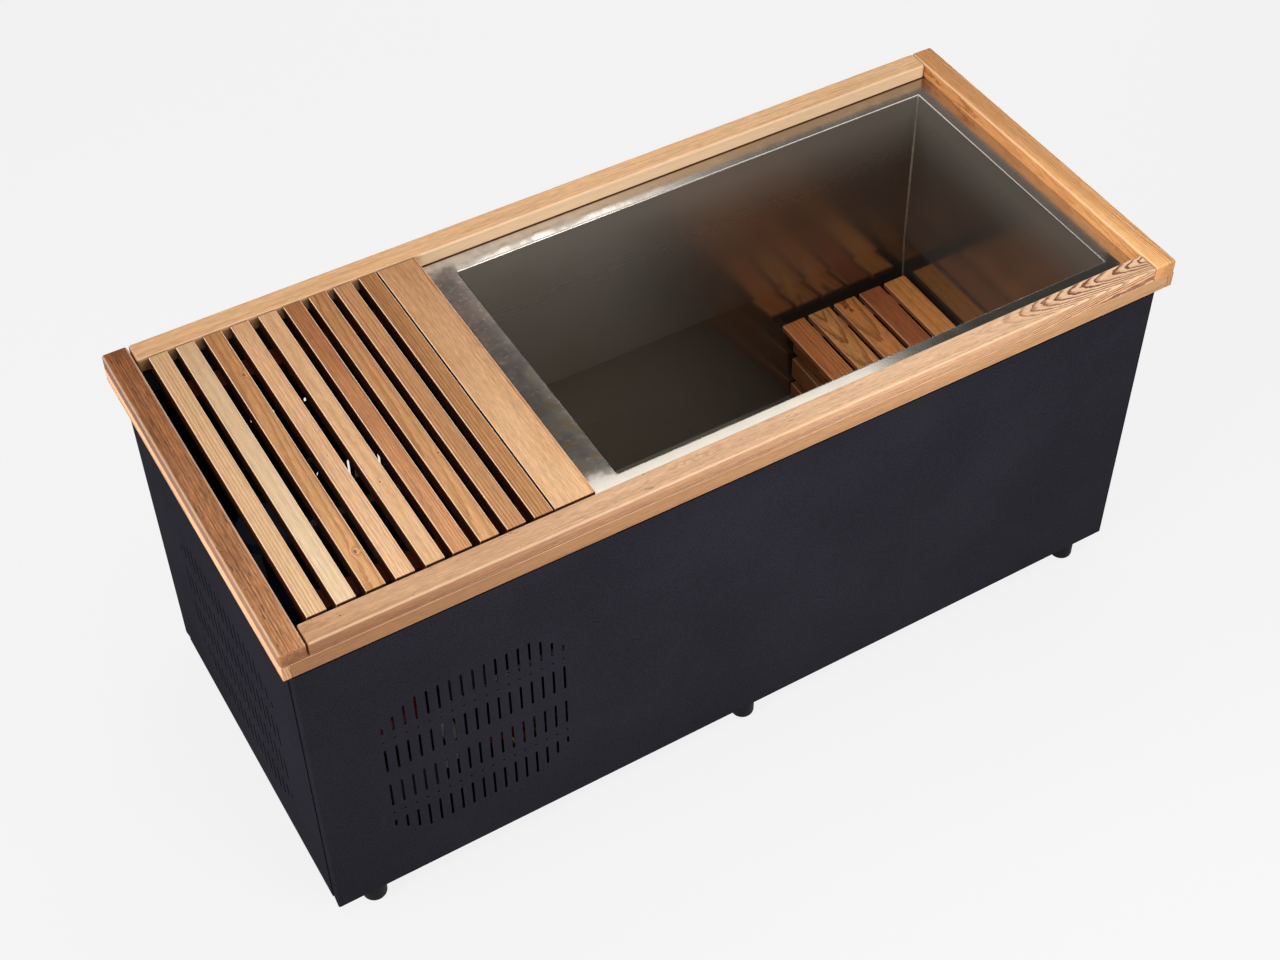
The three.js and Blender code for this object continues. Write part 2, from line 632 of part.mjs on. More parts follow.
// A fitting is drawn along +X from the end of its tail to its face inside the basin.
const tailLength = TUB.left - (JACKET_LEFT - FITTING_TAIL) + SEAT_GAP;
const fittingProfile = [
  [0, 0], [PIPE_RADIUS, 0], [PIPE_RADIUS, tailLength], [FITTING_RADIUS, tailLength],
  [FITTING_RADIUS - 2, tailLength + FITTING_FACE], [PIPE_RADIUS, tailLength + FITTING_FACE],
  [PIPE_RADIUS - 4, tailLength + FITTING_FACE - 4], [0, tailLength + FITTING_FACE - 4],
];
const fittingEnd = JACKET_LEFT - FITTING_TAIL;
const fittings = [['suction_fitting', suctionY, suctionZ], ['return_fitting', returnY, returnZ]];
for (const [name, y, z] of fittings) {
  part(basin, name, revolved(fittingProfile, ROUND_SIDES, 'x'), stainless, fittingEnd, y, z);
}

// Drain: a tube through the wall, a valve body and its stem, and the lever on the stem
const valveStart = JACKET_LEFT - VALVE_LENGTH;
const valveFace = TUB.left + SEAT_GAP - valveStart;
const valveTube = revolved([
  [0, 0], [VALVE_RADIUS, 0], [VALVE_RADIUS, valveFace], [VALVE_BODY, valveFace],
  [VALVE_BODY, valveFace + 4], [0, valveFace + 4],
], ROUND_SIDES, 'x');
const bodyMiddle = VALVE_BODY + 20;
const hubBottom = VALVE_BODY + SEAT_GAP;
const hubTop = hubBottom + LEVER_THICK;
const valveBody = block(
  bodyMiddle - VALVE_BODY, bodyMiddle + VALVE_BODY, -VALVE_BODY, VALVE_BODY, -VALVE_BODY, VALVE_BODY,
);
const stem = rod(VALVE_STEM_RADIUS, hubTop + 1, SHAFT_SIDES, 'z').translate(bodyMiddle, 0, 0);
const nut = rod(VALVE_STEM_RADIUS + 4, 6, 6, 'z').translate(bodyMiddle, 0, hubTop + END_PLAY);
part(basin, 'drain_valve', join([valveTube, valveBody, stem, nut]), brass, valveStart, valveY, valveZ);
const leverBody = join([
  rod(LEVER_HUB_RADIUS, LEVER_THICK, ROUND_SIDES, 'z'),
  block(-LEVER_LENGTH, 0, -LEVER_WIDTH / 2, LEVER_WIDTH / 2, 0, LEVER_THICK),
]);
const leverBore = rod(boreRadius(VALVE_STEM_RADIUS), LEVER_THICK + 2, SHAFT_SIDES, 'z').translate(0, 0, -1);
part(
  basin, 'drain_lever', cut(leverBody, [leverBore]), redPaint,
  valveStart + bodyMiddle, valveY, valveZ + hubBottom,
);

// Cedar top: rails, and the fascia under their outer edges
const top = new THREE.Group();
tub.add(top);
const railZ = (RAIL_BOTTOM + RAIL_TOP) / 2;
const railStart = LEFT + RAIL_WIDTH + RAIL_JOINT_LEFT;
const railEnd = RIGHT - RAIL_WIDTH - RAIL_JOINT_RIGHT;
const railMiddle = (railStart + railEnd) / 2;
const endRail = () => boardGeometry('y', TOP_WIDTH, RAIL_WIDTH, RAIL_THICK, RAIL_EASE);
const sideRail = () => boardGeometry('x', railEnd - railStart, RAIL_WIDTH, RAIL_THICK, RAIL_EASE);
part(top, 'left_rail', endRail(), cedar(0xa8714f), LEFT + RAIL_WIDTH / 2, 0, railZ);
part(top, 'right_rail', endRail(), cedar(0xb97f4c), RIGHT - RAIL_WIDTH / 2, 0, railZ);
part(top, 'front_rail', sideRail(), cedar(0xc28a68), railMiddle, FRONT + RAIL_WIDTH / 2, railZ);
part(top, 'back_rail', sideRail(), cedar(0xb88158), railMiddle, BACK - RAIL_WIDTH / 2, railZ);
const fasciaHeight = FASCIA_HEIGHT - 2 * SEAT_GAP;
const fasciaZ = CABINET_TOP + FASCIA_HEIGHT / 2;
const fasciaLength = TOP_LENGTH - 2 * (FASCIA_THICK + SEAT_GAP);
const endFascia = () => boardGeometry('y', TOP_WIDTH, FASCIA_THICK, fasciaHeight, 1);
const sideFascia = () => boardGeometry('x', fasciaLength, FASCIA_THICK, fasciaHeight, 1);
part(top, 'left_fascia', endFascia(), cedar(0xb0794f), LEFT + FASCIA_THICK / 2, 0, fasciaZ);
part(top, 'right_fascia', endFascia(), cedar(0xb0794f), RIGHT - FASCIA_THICK / 2, 0, fasciaZ);
part(top, 'front_fascia', sideFascia(), cedar(0xa5703f), 0, FRONT + FASCIA_THICK / 2, fasciaZ);
part(top, 'back_fascia', sideFascia(), cedar(0xa5703f), 0, BACK - FASCIA_THICK / 2, fasciaZ);

// Lift-out cover: nine slats and a plank, resting on the chassis and screwed to two battens
const cover = new THREE.Group();
tub.add(cover);
const coverBottom = CHASSIS_TOP + SEAT_GAP;
const coverThick = RAIL_TOP - coverBottom;
const coverZ = (coverBottom + RAIL_TOP) / 2;
const coverFront = FRONT + RAIL_WIDTH + COVER_FRONT_GAP;
const coverBack = BACK - RAIL_WIDTH - COVER_BACK_GAP;
const coverLength = coverBack - coverFront;
const coverY = (coverFront + coverBack) / 2;
const slatTones = [
  0xdcb98a, 0xe6cfa2, 0xd0a070, 0xdfb391, 0xe3bb90, 0xc98c6c, 0xcaa176, 0xb98d61, 0xa8885c,
];
const coverLeft = LEFT + RAIL_WIDTH + COVER_LEFT_GAP;
let slatLeft = coverLeft;
slatTones.forEach((tone, i) => {
  const geometry = boardGeometry('y', coverLength, SLAT_WIDTH, coverThick, SLAT_EASE);
  part(cover, `slat_${i + 1}`, geometry, cedar(tone), slatLeft + SLAT_WIDTH / 2, coverY, coverZ);
  slatLeft += SLAT_WIDTH + (SLAT_GAPS[i] ?? PLANK_GAP);
});
const plankGeometry = boardGeometry('y', coverLength, PLANK_WIDTH, coverThick, SLAT_EASE);
part(cover, 'cover_plank', plankGeometry, cedar(0xcf9b68), slatLeft + PLANK_WIDTH / 2, coverY, coverZ);
const coverRight = slatLeft + PLANK_WIDTH;
const battenZ = coverBottom - SEAT_GAP - BATTEN_THICK / 2;
const battenGeometry = () => boardGeometry('x', coverRight - coverLeft, BATTEN_WIDTH, BATTEN_THICK, 1);
const battenX = (coverLeft + coverRight) / 2;
const battenOffset = BATTEN_INSET + BATTEN_WIDTH / 2;
const battenRows = { front: frontTubeBack + battenOffset, back: backTubeFront - battenOffset };
for (const [row, y] of Object.entries(battenRows)) {
  part(cover, `batten_${row}`, battenGeometry(), cedar(0xa9774e), battenX, y, battenZ);
}

// Seat: slats over two end frames, with side slats facing the basin
const seat = new THREE.Group();
tub.add(seat);
const seatBottom = FLOOR_TOP + SEAT_GAP;
const seatTop = FLOOR_TOP + SEAT_HEIGHT;
const seatRight = TUB.right - SEAT_FROM_RIGHT;
const seatStep = SEAT_SLAT_WIDTH + SEAT_SLAT_GAP;
const seatLeft = seatRight - SEAT_SLAT_COUNT * seatStep + SEAT_SLAT_GAP;
const seatFront = TUB.front + SEAT_FROM_FRONT;
const seatBack = TUB.back - SEAT_FROM_BACK;
const seatLength = seatBack - seatFront;
const seatY = (seatFront + seatBack) / 2;
const seatTones = [0xb5714a, 0x8f6a3f, 0xb98a58, 0x8c5234, 0xc58f52];
for (let i = 0; i < SEAT_SLAT_COUNT; i += 1) {
  part(
    seat, `seat_slat_${i + 1}`,
    boardGeometry('y', seatLength, SEAT_SLAT_WIDTH, SEAT_SLAT_THICK, SEAT_SLAT_EASE),
    cedar(seatTones[i % seatTones.length]),
    seatLeft + i * seatStep + SEAT_SLAT_WIDTH / 2, seatY, seatTop - SEAT_SLAT_THICK / 2,
  );
}
const frameTop = seatTop - SEAT_SLAT_THICK - SEAT_GAP;
const sideFace = seatLeft + SEAT_OVERHANG;
let sideTop = frameTop - SIDE_SLAT_DROP;
SIDE_SLAT_HEIGHTS.forEach((height, i) => {
  part(
    seat, `seat_side_slat_${i + 1}`, boardGeometry('y', seatLength, SIDE_SLAT_THICK, height, 2),
    cedar(0x9c6a40), sideFace + SIDE_SLAT_THICK / 2, seatY, sideTop - height / 2,
  );
  sideTop -= height + SIDE_SLAT_GAP;
});
const legLeft = sideFace + SIDE_SLAT_THICK + SEAT_GAP;
const legRight = seatRight - SEAT_FRAME_SET_IN;
const frameY = seatLength / 2 - SEAT_FRAME_INSET - SEAT_LEG / 2;
for (const [name, side] of [['seat_frame_front', -1], ['seat_frame_back', 1]]) {
  const y = seatY + side * frameY;
  const y0 = y - SEAT_LEG / 2;
  const y1 = y + SEAT_LEG / 2;
  part(seat, name, join([
    block(legLeft, legLeft + SEAT_LEG, y0, y1, seatBottom, frameTop),
    block(legRight - SEAT_LEG, legRight, y0, y1, seatBottom, frameTop),
    block(legLeft, legRight, y0, y1, frameTop - SEAT_LEG, frameTop),
  ]), cedar(0x9a683f));
}

// Chiller and water circuit in the left compartment
const machine = new THREE.Group();
tub.add(machine);
const atX = (distance) => CABINET.left + distance;
const atY = (distance) => CABINET.front + distance;
const atZ = (distance) => BASE_TOP + distance;

// Condenser: finned coil in a frame by the back vent, with the fan's ring, motor and shaft in front of it
const coilBack = INSIDE.back - COIL_FROM_BACK;
const coilFront = coilBack - COIL_DEPTH;
const coilX = atX(COIL_X);
const coilLeft = coilX - COIL_WIDTH / 2;
const coilRight = coilX + COIL_WIDTH / 2;
const coilBottom = atZ(COIL_LEGS);
const coilTop = coilBottom + COIL_HEIGHT;
const fanZ = (coilBottom + coilTop) / 2;
const ringRadius = FAN_RADIUS + FAN_TIP_GAP;
const plateFront = coilFront - COIL_WALL;
const ringFront = plateFront - SHROUD_DEPTH;
const barBack = ringFront + MOTOR_BAR;
const ringProfile = [
  [ringRadius, 0], [ringRadius + COIL_WALL, 0], [ringRadius + COIL_WALL, SHROUD_DEPTH + 1],
  [ringRadius, SHROUD_DEPTH + 1], [ringRadius, 0],
];
const hubStart = barBack + 8;
const hubEnd = hubStart + FAN_HUB_DEPTH;
const alongY = (radius, y0, y1, sides = 10) => rod(radius, y1 - y0, sides, 'y').translate(coilX, y0, fanZ);
const mouthPlate = cut(
  block(coilLeft, coilRight, plateFront, coilFront + 1, coilBottom, coilTop),
  [alongY(ringRadius, plateFront - 1, coilFront + 2, 24)],
);
const fins = Array.from({ length: COIL_FINS }, (_, i) => {
  const x = coilLeft + ((i + 1) * COIL_WIDTH) / (COIL_FINS + 1);
  return block(x - FIN_THICK / 2, x + FIN_THICK / 2, coilFront, coilBack - 2, coilBottom, coilTop);
});
const coil = join([
  block(coilLeft, coilLeft + COIL_WALL, plateFront, coilBack, ON_BASE, coilTop),
  block(coilRight - COIL_WALL, coilRight, plateFront, coilBack, ON_BASE, coilTop),
  block(coilLeft, coilRight, coilFront, coilBack, coilBottom - COIL_WALL, coilBottom + 1),
  block(coilLeft, coilRight, coilFront, coilBack, coilTop - 1, coilTop + COIL_WALL),
  mouthPlate,
  ...fins,
  revolved(ringProfile, 24, 'y').translate(coilX, ringFront, fanZ),
  block(coilX - ringRadius - 2, coilX + ringRadius + 2, ringFront, barBack, fanZ - 15, fanZ + 15),
  alongY(MOTOR_RADIUS, ringFront - MOTOR_LENGTH, ringFront + 1, ROUND_SIDES),
  alongY(FAN_SHAFT_RADIUS + 6, barBack - 1, hubStart - END_PLAY),
  alongY(FAN_SHAFT_RADIUS, barBack - 1, hubEnd + 5, SHAFT_SIDES),
  alongY(FAN_SHAFT_RADIUS + 6, hubEnd + END_PLAY, hubEnd + 5),
]);
part(machine, 'condenser_coil', coil, aluminium);
const fanBore = boreRadius(FAN_SHAFT_RADIUS);
const fanProfile = [
  [fanBore, 0], [FAN_HUB_RADIUS, 0], [FAN_HUB_RADIUS, FAN_HUB_DEPTH], [fanBore, FAN_HUB_DEPTH],
  [fanBore, 0],
];
const bladeLength = FAN_RADIUS - FAN_HUB_RADIUS + 8;
const blades = Array.from({ length: FAN_BLADES }, (_, i) =>
  new THREE.BoxGeometry(bladeLength, BLADE_THICK, BLADE_WIDTH)
    .rotateX((BLADE_PITCH * Math.PI) / 180)
    .translate(FAN_RADIUS - bladeLength / 2 - 4, FAN_HUB_DEPTH / 2, 0)
    .rotateY((2 * Math.PI * i) / FAN_BLADES));
const fan = join([revolved(fanProfile, SHAFT_SIDES, 'y'), ...blades]);
part(machine, 'condenser_fan', fan, blackPaint, coilX, hubStart, fanZ);

// Compressor between the fan and the filter
const shellTop = COMPRESSOR_HEIGHT - SEAT_GAP;
const shellFoot = COMPRESSOR_RADIUS * 1.1;
const compressorProfile = [
  [0, 0], [shellFoot, 0], [shellFoot, 10], [COMPRESSOR_RADIUS * 0.8, 14],
  [COMPRESSOR_RADIUS, 40], [COMPRESSOR_RADIUS, shellTop - 50], [COMPRESSOR_RADIUS * 0.7, shellTop - 12],
  [COPPER_RADIUS * 2, shellTop - 8], [COPPER_RADIUS * 2, shellTop], [0, shellTop],
];
const compressorX = atX(COMPRESSOR_X);
const compressorY = ringFront - MOTOR_LENGTH - COMPRESSOR_FROM_FAN - shellFoot;
part(
  machine, 'compressor', revolved(compressorProfile, ROUND_SIDES), blackPaint,
  compressorX, compressorY, ON_BASE,
);

// Heat exchanger with the circulation pump on top of it
const exchangerLeft = atX(EXCHANGER_X);
const exchangerFront = atY(EXCHANGER_Y);
const exchangerMiddleX = exchangerLeft + EXCHANGER_WIDTH / 2;
const exchangerMiddleY = exchangerFront + EXCHANGER_DEPTH / 2;
const exchangerTop = ON_BASE + EXCHANGER_HEIGHT;
const exchanger = roundedBlock(EXCHANGER_WIDTH, EXCHANGER_DEPTH, EXCHANGER_HEIGHT, EXCHANGER_ROUND);
part(
  machine, 'heat_exchanger', exchanger, greyPlastic,
  exchangerMiddleX, exchangerMiddleY, ON_BASE + EXCHANGER_HEIGHT / 2,
);
const pumpBottom = exchangerTop + SEAT_GAP;
const pumpZ = pumpBottom + PUMP_FOOT + PUMP_RADIUS;
const pumpLeft = exchangerMiddleX - PUMP_LENGTH / 2;
const pumpPortX = pumpLeft + PUMP_PORT_X;
const pumpPortEnd = exchangerMiddleY + PUMP_RADIUS + 20;
const pumpProfile = [
  [0, 0], [PUMP_RADIUS * 0.8, 0], [PUMP_RADIUS, 10], [PUMP_RADIUS, PUMP_LENGTH - 24],
  [PUMP_RADIUS * 0.85, PUMP_LENGTH - 20], [PUMP_RADIUS * 0.85, PUMP_LENGTH], [0, PUMP_LENGTH],
];
const pump = join([
  revolved(pumpProfile, ROUND_SIDES, 'x').translate(pumpLeft, exchangerMiddleY, pumpZ),
  block(
    pumpLeft + 14, pumpLeft + PUMP_LENGTH - 26, exchangerMiddleY - PUMP_RADIUS * 0.7,
    exchangerMiddleY + PUMP_RADIUS * 0.7, pumpBottom, pumpZ,
  ),
  rod(PIPE_RADIUS + 4, pumpPortEnd - exchangerMiddleY, ROUND_SIDES, 'y')
    .translate(pumpPortX, exchangerMiddleY, pumpZ),
]);
part(machine, 'circulation_pump', pump, redPaint);

// Filter housing on its own stand, with a port towards the pump and one towards the basin
const filterX = atX(FILTER_X);
const filterTop = FILTER_STAND + FILTER_HEIGHT;
const filterProfile = [
  [0, 0], [FILTER_RADIUS * 0.9, 0], [FILTER_RADIUS * 0.9, 8], [FILTER_RADIUS * 0.4, 14],
  [FILTER_RADIUS * 0.4, FILTER_STAND - 30], [FILTER_RADIUS * 0.85, FILTER_STAND],
  [FILTER_RADIUS, FILTER_STAND + 14], [FILTER_RADIUS, filterTop - 50],
  [FILTER_RADIUS * 1.12, filterTop - 46], [FILTER_RADIUS * 1.12, filterTop - 10],
  [FILTER_RADIUS * 0.9, filterTop], [0, filterTop],
];
const filterReach = FILTER_RADIUS + FILTER_PORT;
const filter = join([
  revolved(filterProfile, ROUND_SIDES).translate(filterX, returnY, ON_BASE),
  rod(PIPE_RADIUS + 4, filterReach, ROUND_SIDES, 'x').translate(filterX, returnY, returnZ),
  rod(PIPE_RADIUS + 4, filterReach, ROUND_SIDES, 'y')
    .translate(pumpPortX, returnY - filterReach, pumpZ),
]);
part(machine, 'filter_canister', filter, bluePlastic);

// Pipes, each ending just short of the ports that it joins
const transferStart = pumpPortEnd + SEAT_GAP;
const transferEnd = returnY - filterReach - SEAT_GAP;
part(
  machine, 'transfer_pipe', rod(PIPE_RADIUS, transferEnd - transferStart, PIPE_SIDES, 'y'), whitePipe,
  pumpPortX, transferStart, pumpZ,
);
const returnStart = filterX + filterReach + SEAT_GAP;
part(
  machine, 'return_pipe', rod(PIPE_RADIUS, fittingEnd - SEAT_GAP - returnStart, PIPE_SIDES, 'x'), whitePipe,
  returnStart, returnY, returnZ,
);
const exchangerRight = exchangerLeft + EXCHANGER_WIDTH + SEAT_GAP;
const suctionInY = exchangerFront + EXCHANGER_DEPTH * 0.55;
const suctionTurn = exchangerRight + PIPE_ELBOW + PIPE_RADIUS + 10;
part(machine, 'suction_pipe', pipe([
  new THREE.Vector3(fittingEnd - SEAT_GAP, suctionY, suctionZ),
  new THREE.Vector3(suctionTurn, suctionY, suctionZ),
  new THREE.Vector3(suctionTurn, suctionInY, suctionZ),
  new THREE.Vector3(exchangerRight, suctionInY, suctionZ),
], PIPE_RADIUS, PIPE_ELBOW, 16), whitePipe);
const copperTop = pumpZ + 10;
const copperY = exchangerFront + EXCHANGER_DEPTH * 0.75;
const copperTurn = exchangerRight + COPPER_ELBOW + COPPER_RADIUS + 4;
const copperIn = exchangerTop - 60;
part(machine, 'copper_line', pipe([
  new THREE.Vector3(compressorX, compressorY, ON_BASE + shellTop + SEAT_GAP),
  new THREE.Vector3(compressorX, compressorY, copperTop),
  new THREE.Vector3(compressorX, copperY, copperTop),
  new THREE.Vector3(copperTurn, copperY, copperTop),
  new THREE.Vector3(copperTurn, copperY, copperIn),
  new THREE.Vector3(exchangerRight, copperY, copperIn),
], COPPER_RADIUS, COPPER_ELBOW, 30), copper);

// Control box, hung from the chassis by a strap
const controlLeft = atX(CONTROL_X);
const controlFront = atY(CONTROL_Y);
const controlTop = atZ(CONTROL_TOP);
const controlMiddle = controlLeft + CONTROL_WIDTH / 2;
const strapBack = Math.min(frontTubeBack, controlFront + CONTROL_DEPTH) - 2;
const strapTop = CHASSIS_BOTTOM - SEAT_GAP;
const strapLeft = controlMiddle - STRAP_WIDTH / 2;
const strapRight = controlMiddle + STRAP_WIDTH / 2;
part(machine, 'control_box', join([
  block(
    controlLeft, controlLeft + CONTROL_WIDTH, controlFront, controlFront + CONTROL_DEPTH,
    controlTop - CONTROL_HEIGHT, controlTop,
  ),
  block(strapLeft, strapRight, strapBack - STRAP_THICK, strapBack, controlTop - 1, strapTop),
  block(strapLeft, strapRight, strapBack - 25, strapBack, strapTop - STRAP_THICK, strapTop),
]), greyPlastic);

export default tub;
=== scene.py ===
"""Looks of a cold plunge tub: cedar, stainless and powder-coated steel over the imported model."""

from __future__ import annotations

import logging
import math
from dataclasses import dataclass, field, replace
from enum import Enum
from random import Random
from typing import Iterable, Sequence

import bmesh
import bpy
from mathutils import Matrix, Vector


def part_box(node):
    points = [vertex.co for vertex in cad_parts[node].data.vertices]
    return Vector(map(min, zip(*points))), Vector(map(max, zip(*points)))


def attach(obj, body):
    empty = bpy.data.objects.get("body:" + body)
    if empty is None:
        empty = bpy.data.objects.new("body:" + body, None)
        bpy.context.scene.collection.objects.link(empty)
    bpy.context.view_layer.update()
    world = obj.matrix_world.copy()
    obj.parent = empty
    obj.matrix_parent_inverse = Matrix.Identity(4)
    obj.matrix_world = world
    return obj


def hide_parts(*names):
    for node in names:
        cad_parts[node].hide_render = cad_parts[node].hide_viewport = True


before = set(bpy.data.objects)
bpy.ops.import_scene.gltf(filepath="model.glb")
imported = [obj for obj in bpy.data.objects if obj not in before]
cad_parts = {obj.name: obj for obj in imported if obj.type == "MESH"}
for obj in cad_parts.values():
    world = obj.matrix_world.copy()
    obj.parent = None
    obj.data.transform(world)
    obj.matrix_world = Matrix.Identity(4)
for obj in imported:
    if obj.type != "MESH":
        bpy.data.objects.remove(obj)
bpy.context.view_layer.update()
LOG = logging.getLogger("cold_plunge_tub")

Socket = bpy.types.NodeSocket
Value = Socket | float | int
Colour = tuple[float, float, float, float]

# WEATHERED_AND_SHADE darkens end grain, and also paints shade along boards, on their side faces and behind the
# cover.
WEATHERED_AND_SHADE: Colour = (0.52, 0.38, 0.26, 1.0)
SHADED: Colour = (0.1, 0.05, 0.035, 1.0)
# GAP_SHADE is painted shade on slat sides and ends in the gaps.
GAP_SHADE: Colour = (0.14, 0.042, 0.014, 1.0)
# FRESH_WOOD_AND_HIGHLIGHT is a painted highlight on eased edges and lit side faces, partly fresh wood worn bare.
FRESH_WOOD_AND_HIGHLIGHT: Colour = (0.95, 0.74, 0.5, 1.0)
RUBBED: Colour = (0.82, 0.5, 0.26, 1.0)


def srgb(code: str) -> Colour:
    """Turn a hexadecimal screen colour into the linear colour that shaders use.

    Args:
        code: Six hexadecimal digits.

    Returns:
        Linear red, green, blue and an alpha of 1.
    """
    parts = [int(code[i:i + 2], 16) / 255 for i in (0, 2, 4)]
    linear = [c / 12.92 if c <= 0.04045 else ((c + 0.055) / 1.055) ** 2.4 for c in parts]
    return (linear[0], linear[1], linear[2], 1.0)


class Grain(Enum):
    """Which way a board's fibres run, as the turn that brings them along the third axis."""

    ALONG_X = ((0, 1, 0), (0, 0, 1), (1, 0, 0))
    ALONG_Y = ((-1, 0, 0), (0, 0, 1), (0, 1, 0))
    ALONG_Z = ((1, 0, 0), (0, 1, 0), (0, 0, 1))


class Body(str, Enum):
    """The rigid bodies that pieces ride on."""

    CABINET = "cabinet"
    COVER = "cover"
    SEAT = "seat"
    FAN = "fan"
    LEVER = "lever"


class Tree:
    """A node tree under construction, with short calls for the nodes that the finishes share."""

    def __init__(self, tree: bpy.types.NodeTree) -> None:
        """Start on an empty tree."""
        self.tree = tree
        tree.nodes.clear()

    def node(self, kind: str, **settings: object) -> bpy.types.Node:
        """Add a node.

        Args:
            kind: The node's type name.
            **settings: Attributes to set on it.

        Returns:
            The new node.
        """
        made = self.tree.nodes.new(kind)
        for name, value in settings.items():
            setattr(made, name, value)
        return made

    def feed(self, target: Socket, value: Value | Sequence[float]) -> None:
        """Link a socket to another, or set its constant."""
        if isinstance(value, bpy.types.NodeSocket):
            self.tree.links.new(value, target)
        else:
            target.default_value = value

    def math(self, operation: str, *values: Value, clamp: bool = False) -> Socket:
        """Add a Math node and return its value."""
        made = self.node("ShaderNodeMath", operation=operation, use_clamp=clamp)
        for target, value in zip(made.inputs, values):
            self.feed(target, value)
        return made.outputs[0]

    def vector(self, operation: str, *values: Value | Sequence[float]) -> Socket:
        """Add a Vector Math node and return its vector."""
        made = self.node("ShaderNodeVectorMath", operation=operation)
        for target, value in zip(made.inputs, values):
            self.feed(target, value)
        return made.outputs[0]

    def split(self, vector: Socket) -> list[Socket]:
        """Return the three parts of a vector."""
        made = self.node("ShaderNodeSeparateXYZ")
        self.feed(made.inputs[0], vector)
        return list(made.outputs)

    def join(self, *parts: Value) -> Socket:
        """Return a vector made of three parts."""
        made = self.node("ShaderNodeCombineXYZ")
        for target, value in zip(made.inputs, parts):
            self.feed(target, value)
        return made.outputs[0]

    def noise(self, vector: Socket, scale: Value, detail: float = 2.0, rough: float = 0.5) -> bpy.types.Node:
        """Add a three-dimensional Noise Texture.

        Args:
            vector: Where it is read.
            scale: Its scale.
            detail: Its octaves.
            rough: How strong the finer octaves are.

        Returns:
            The node, with a factor and a colour.
        """
        made = self.node("ShaderNodeTexNoise")
        self.feed(made.inputs["Vector"], vector)
        self.feed(made.inputs["Scale"], scale)
        made.inputs["Detail"].default_value = detail
        made.inputs["Roughness"].default_value = rough
        return made

    def remap(self, value: Socket, span: Sequence[Value], to: Sequence[Value], smooth: bool = False) -> Socket:
        """Carry a value from one span to another, held at both ends.

        Args:
            value: The value.
            span: Its two ends.
            to: What the ends become.
            smooth: Whether it eases in and out.

        Returns:
            The new value.
        """
        kind = "SMOOTHSTEP" if smooth else "LINEAR"
        made = self.node("ShaderNodeMapRange", interpolation_type=kind)
        for name, one in zip(("From Min", "From Max", "To Min", "To Max"), (*span, *to)):
            self.feed(made.inputs[name], one)
        self.feed(made.inputs["Value"], value)
        return made.outputs["Result"]

    def mix(self, factor: Value, first: Value | Colour, second: Value | Colour, blend: str = "MIX") -> Socket:
        """Mix two colours and return the result."""
        made = self.node("ShaderNodeMix", data_type="RGBA", blend_type=blend, clamp_factor=True)
        self.feed(made.inputs[0], factor)
        self.feed(made.inputs[6], first)
        self.feed(made.inputs[7], second)
        return made.outputs[2]

    def group(self, tree: bpy.types.NodeTree, **values: Value | Colour) -> bpy.types.Node:
        """Place a shared node group.

        Args:
            tree: The group.
            **values: Its inputs, with spaces in their names written as underscores.

        Returns:
            The group node.
        """
        made = self.node("ShaderNodeGroup", node_tree=tree)
        for name, value in values.items():
            self.feed(made.inputs[name.replace("_", " ")], value)
        return made


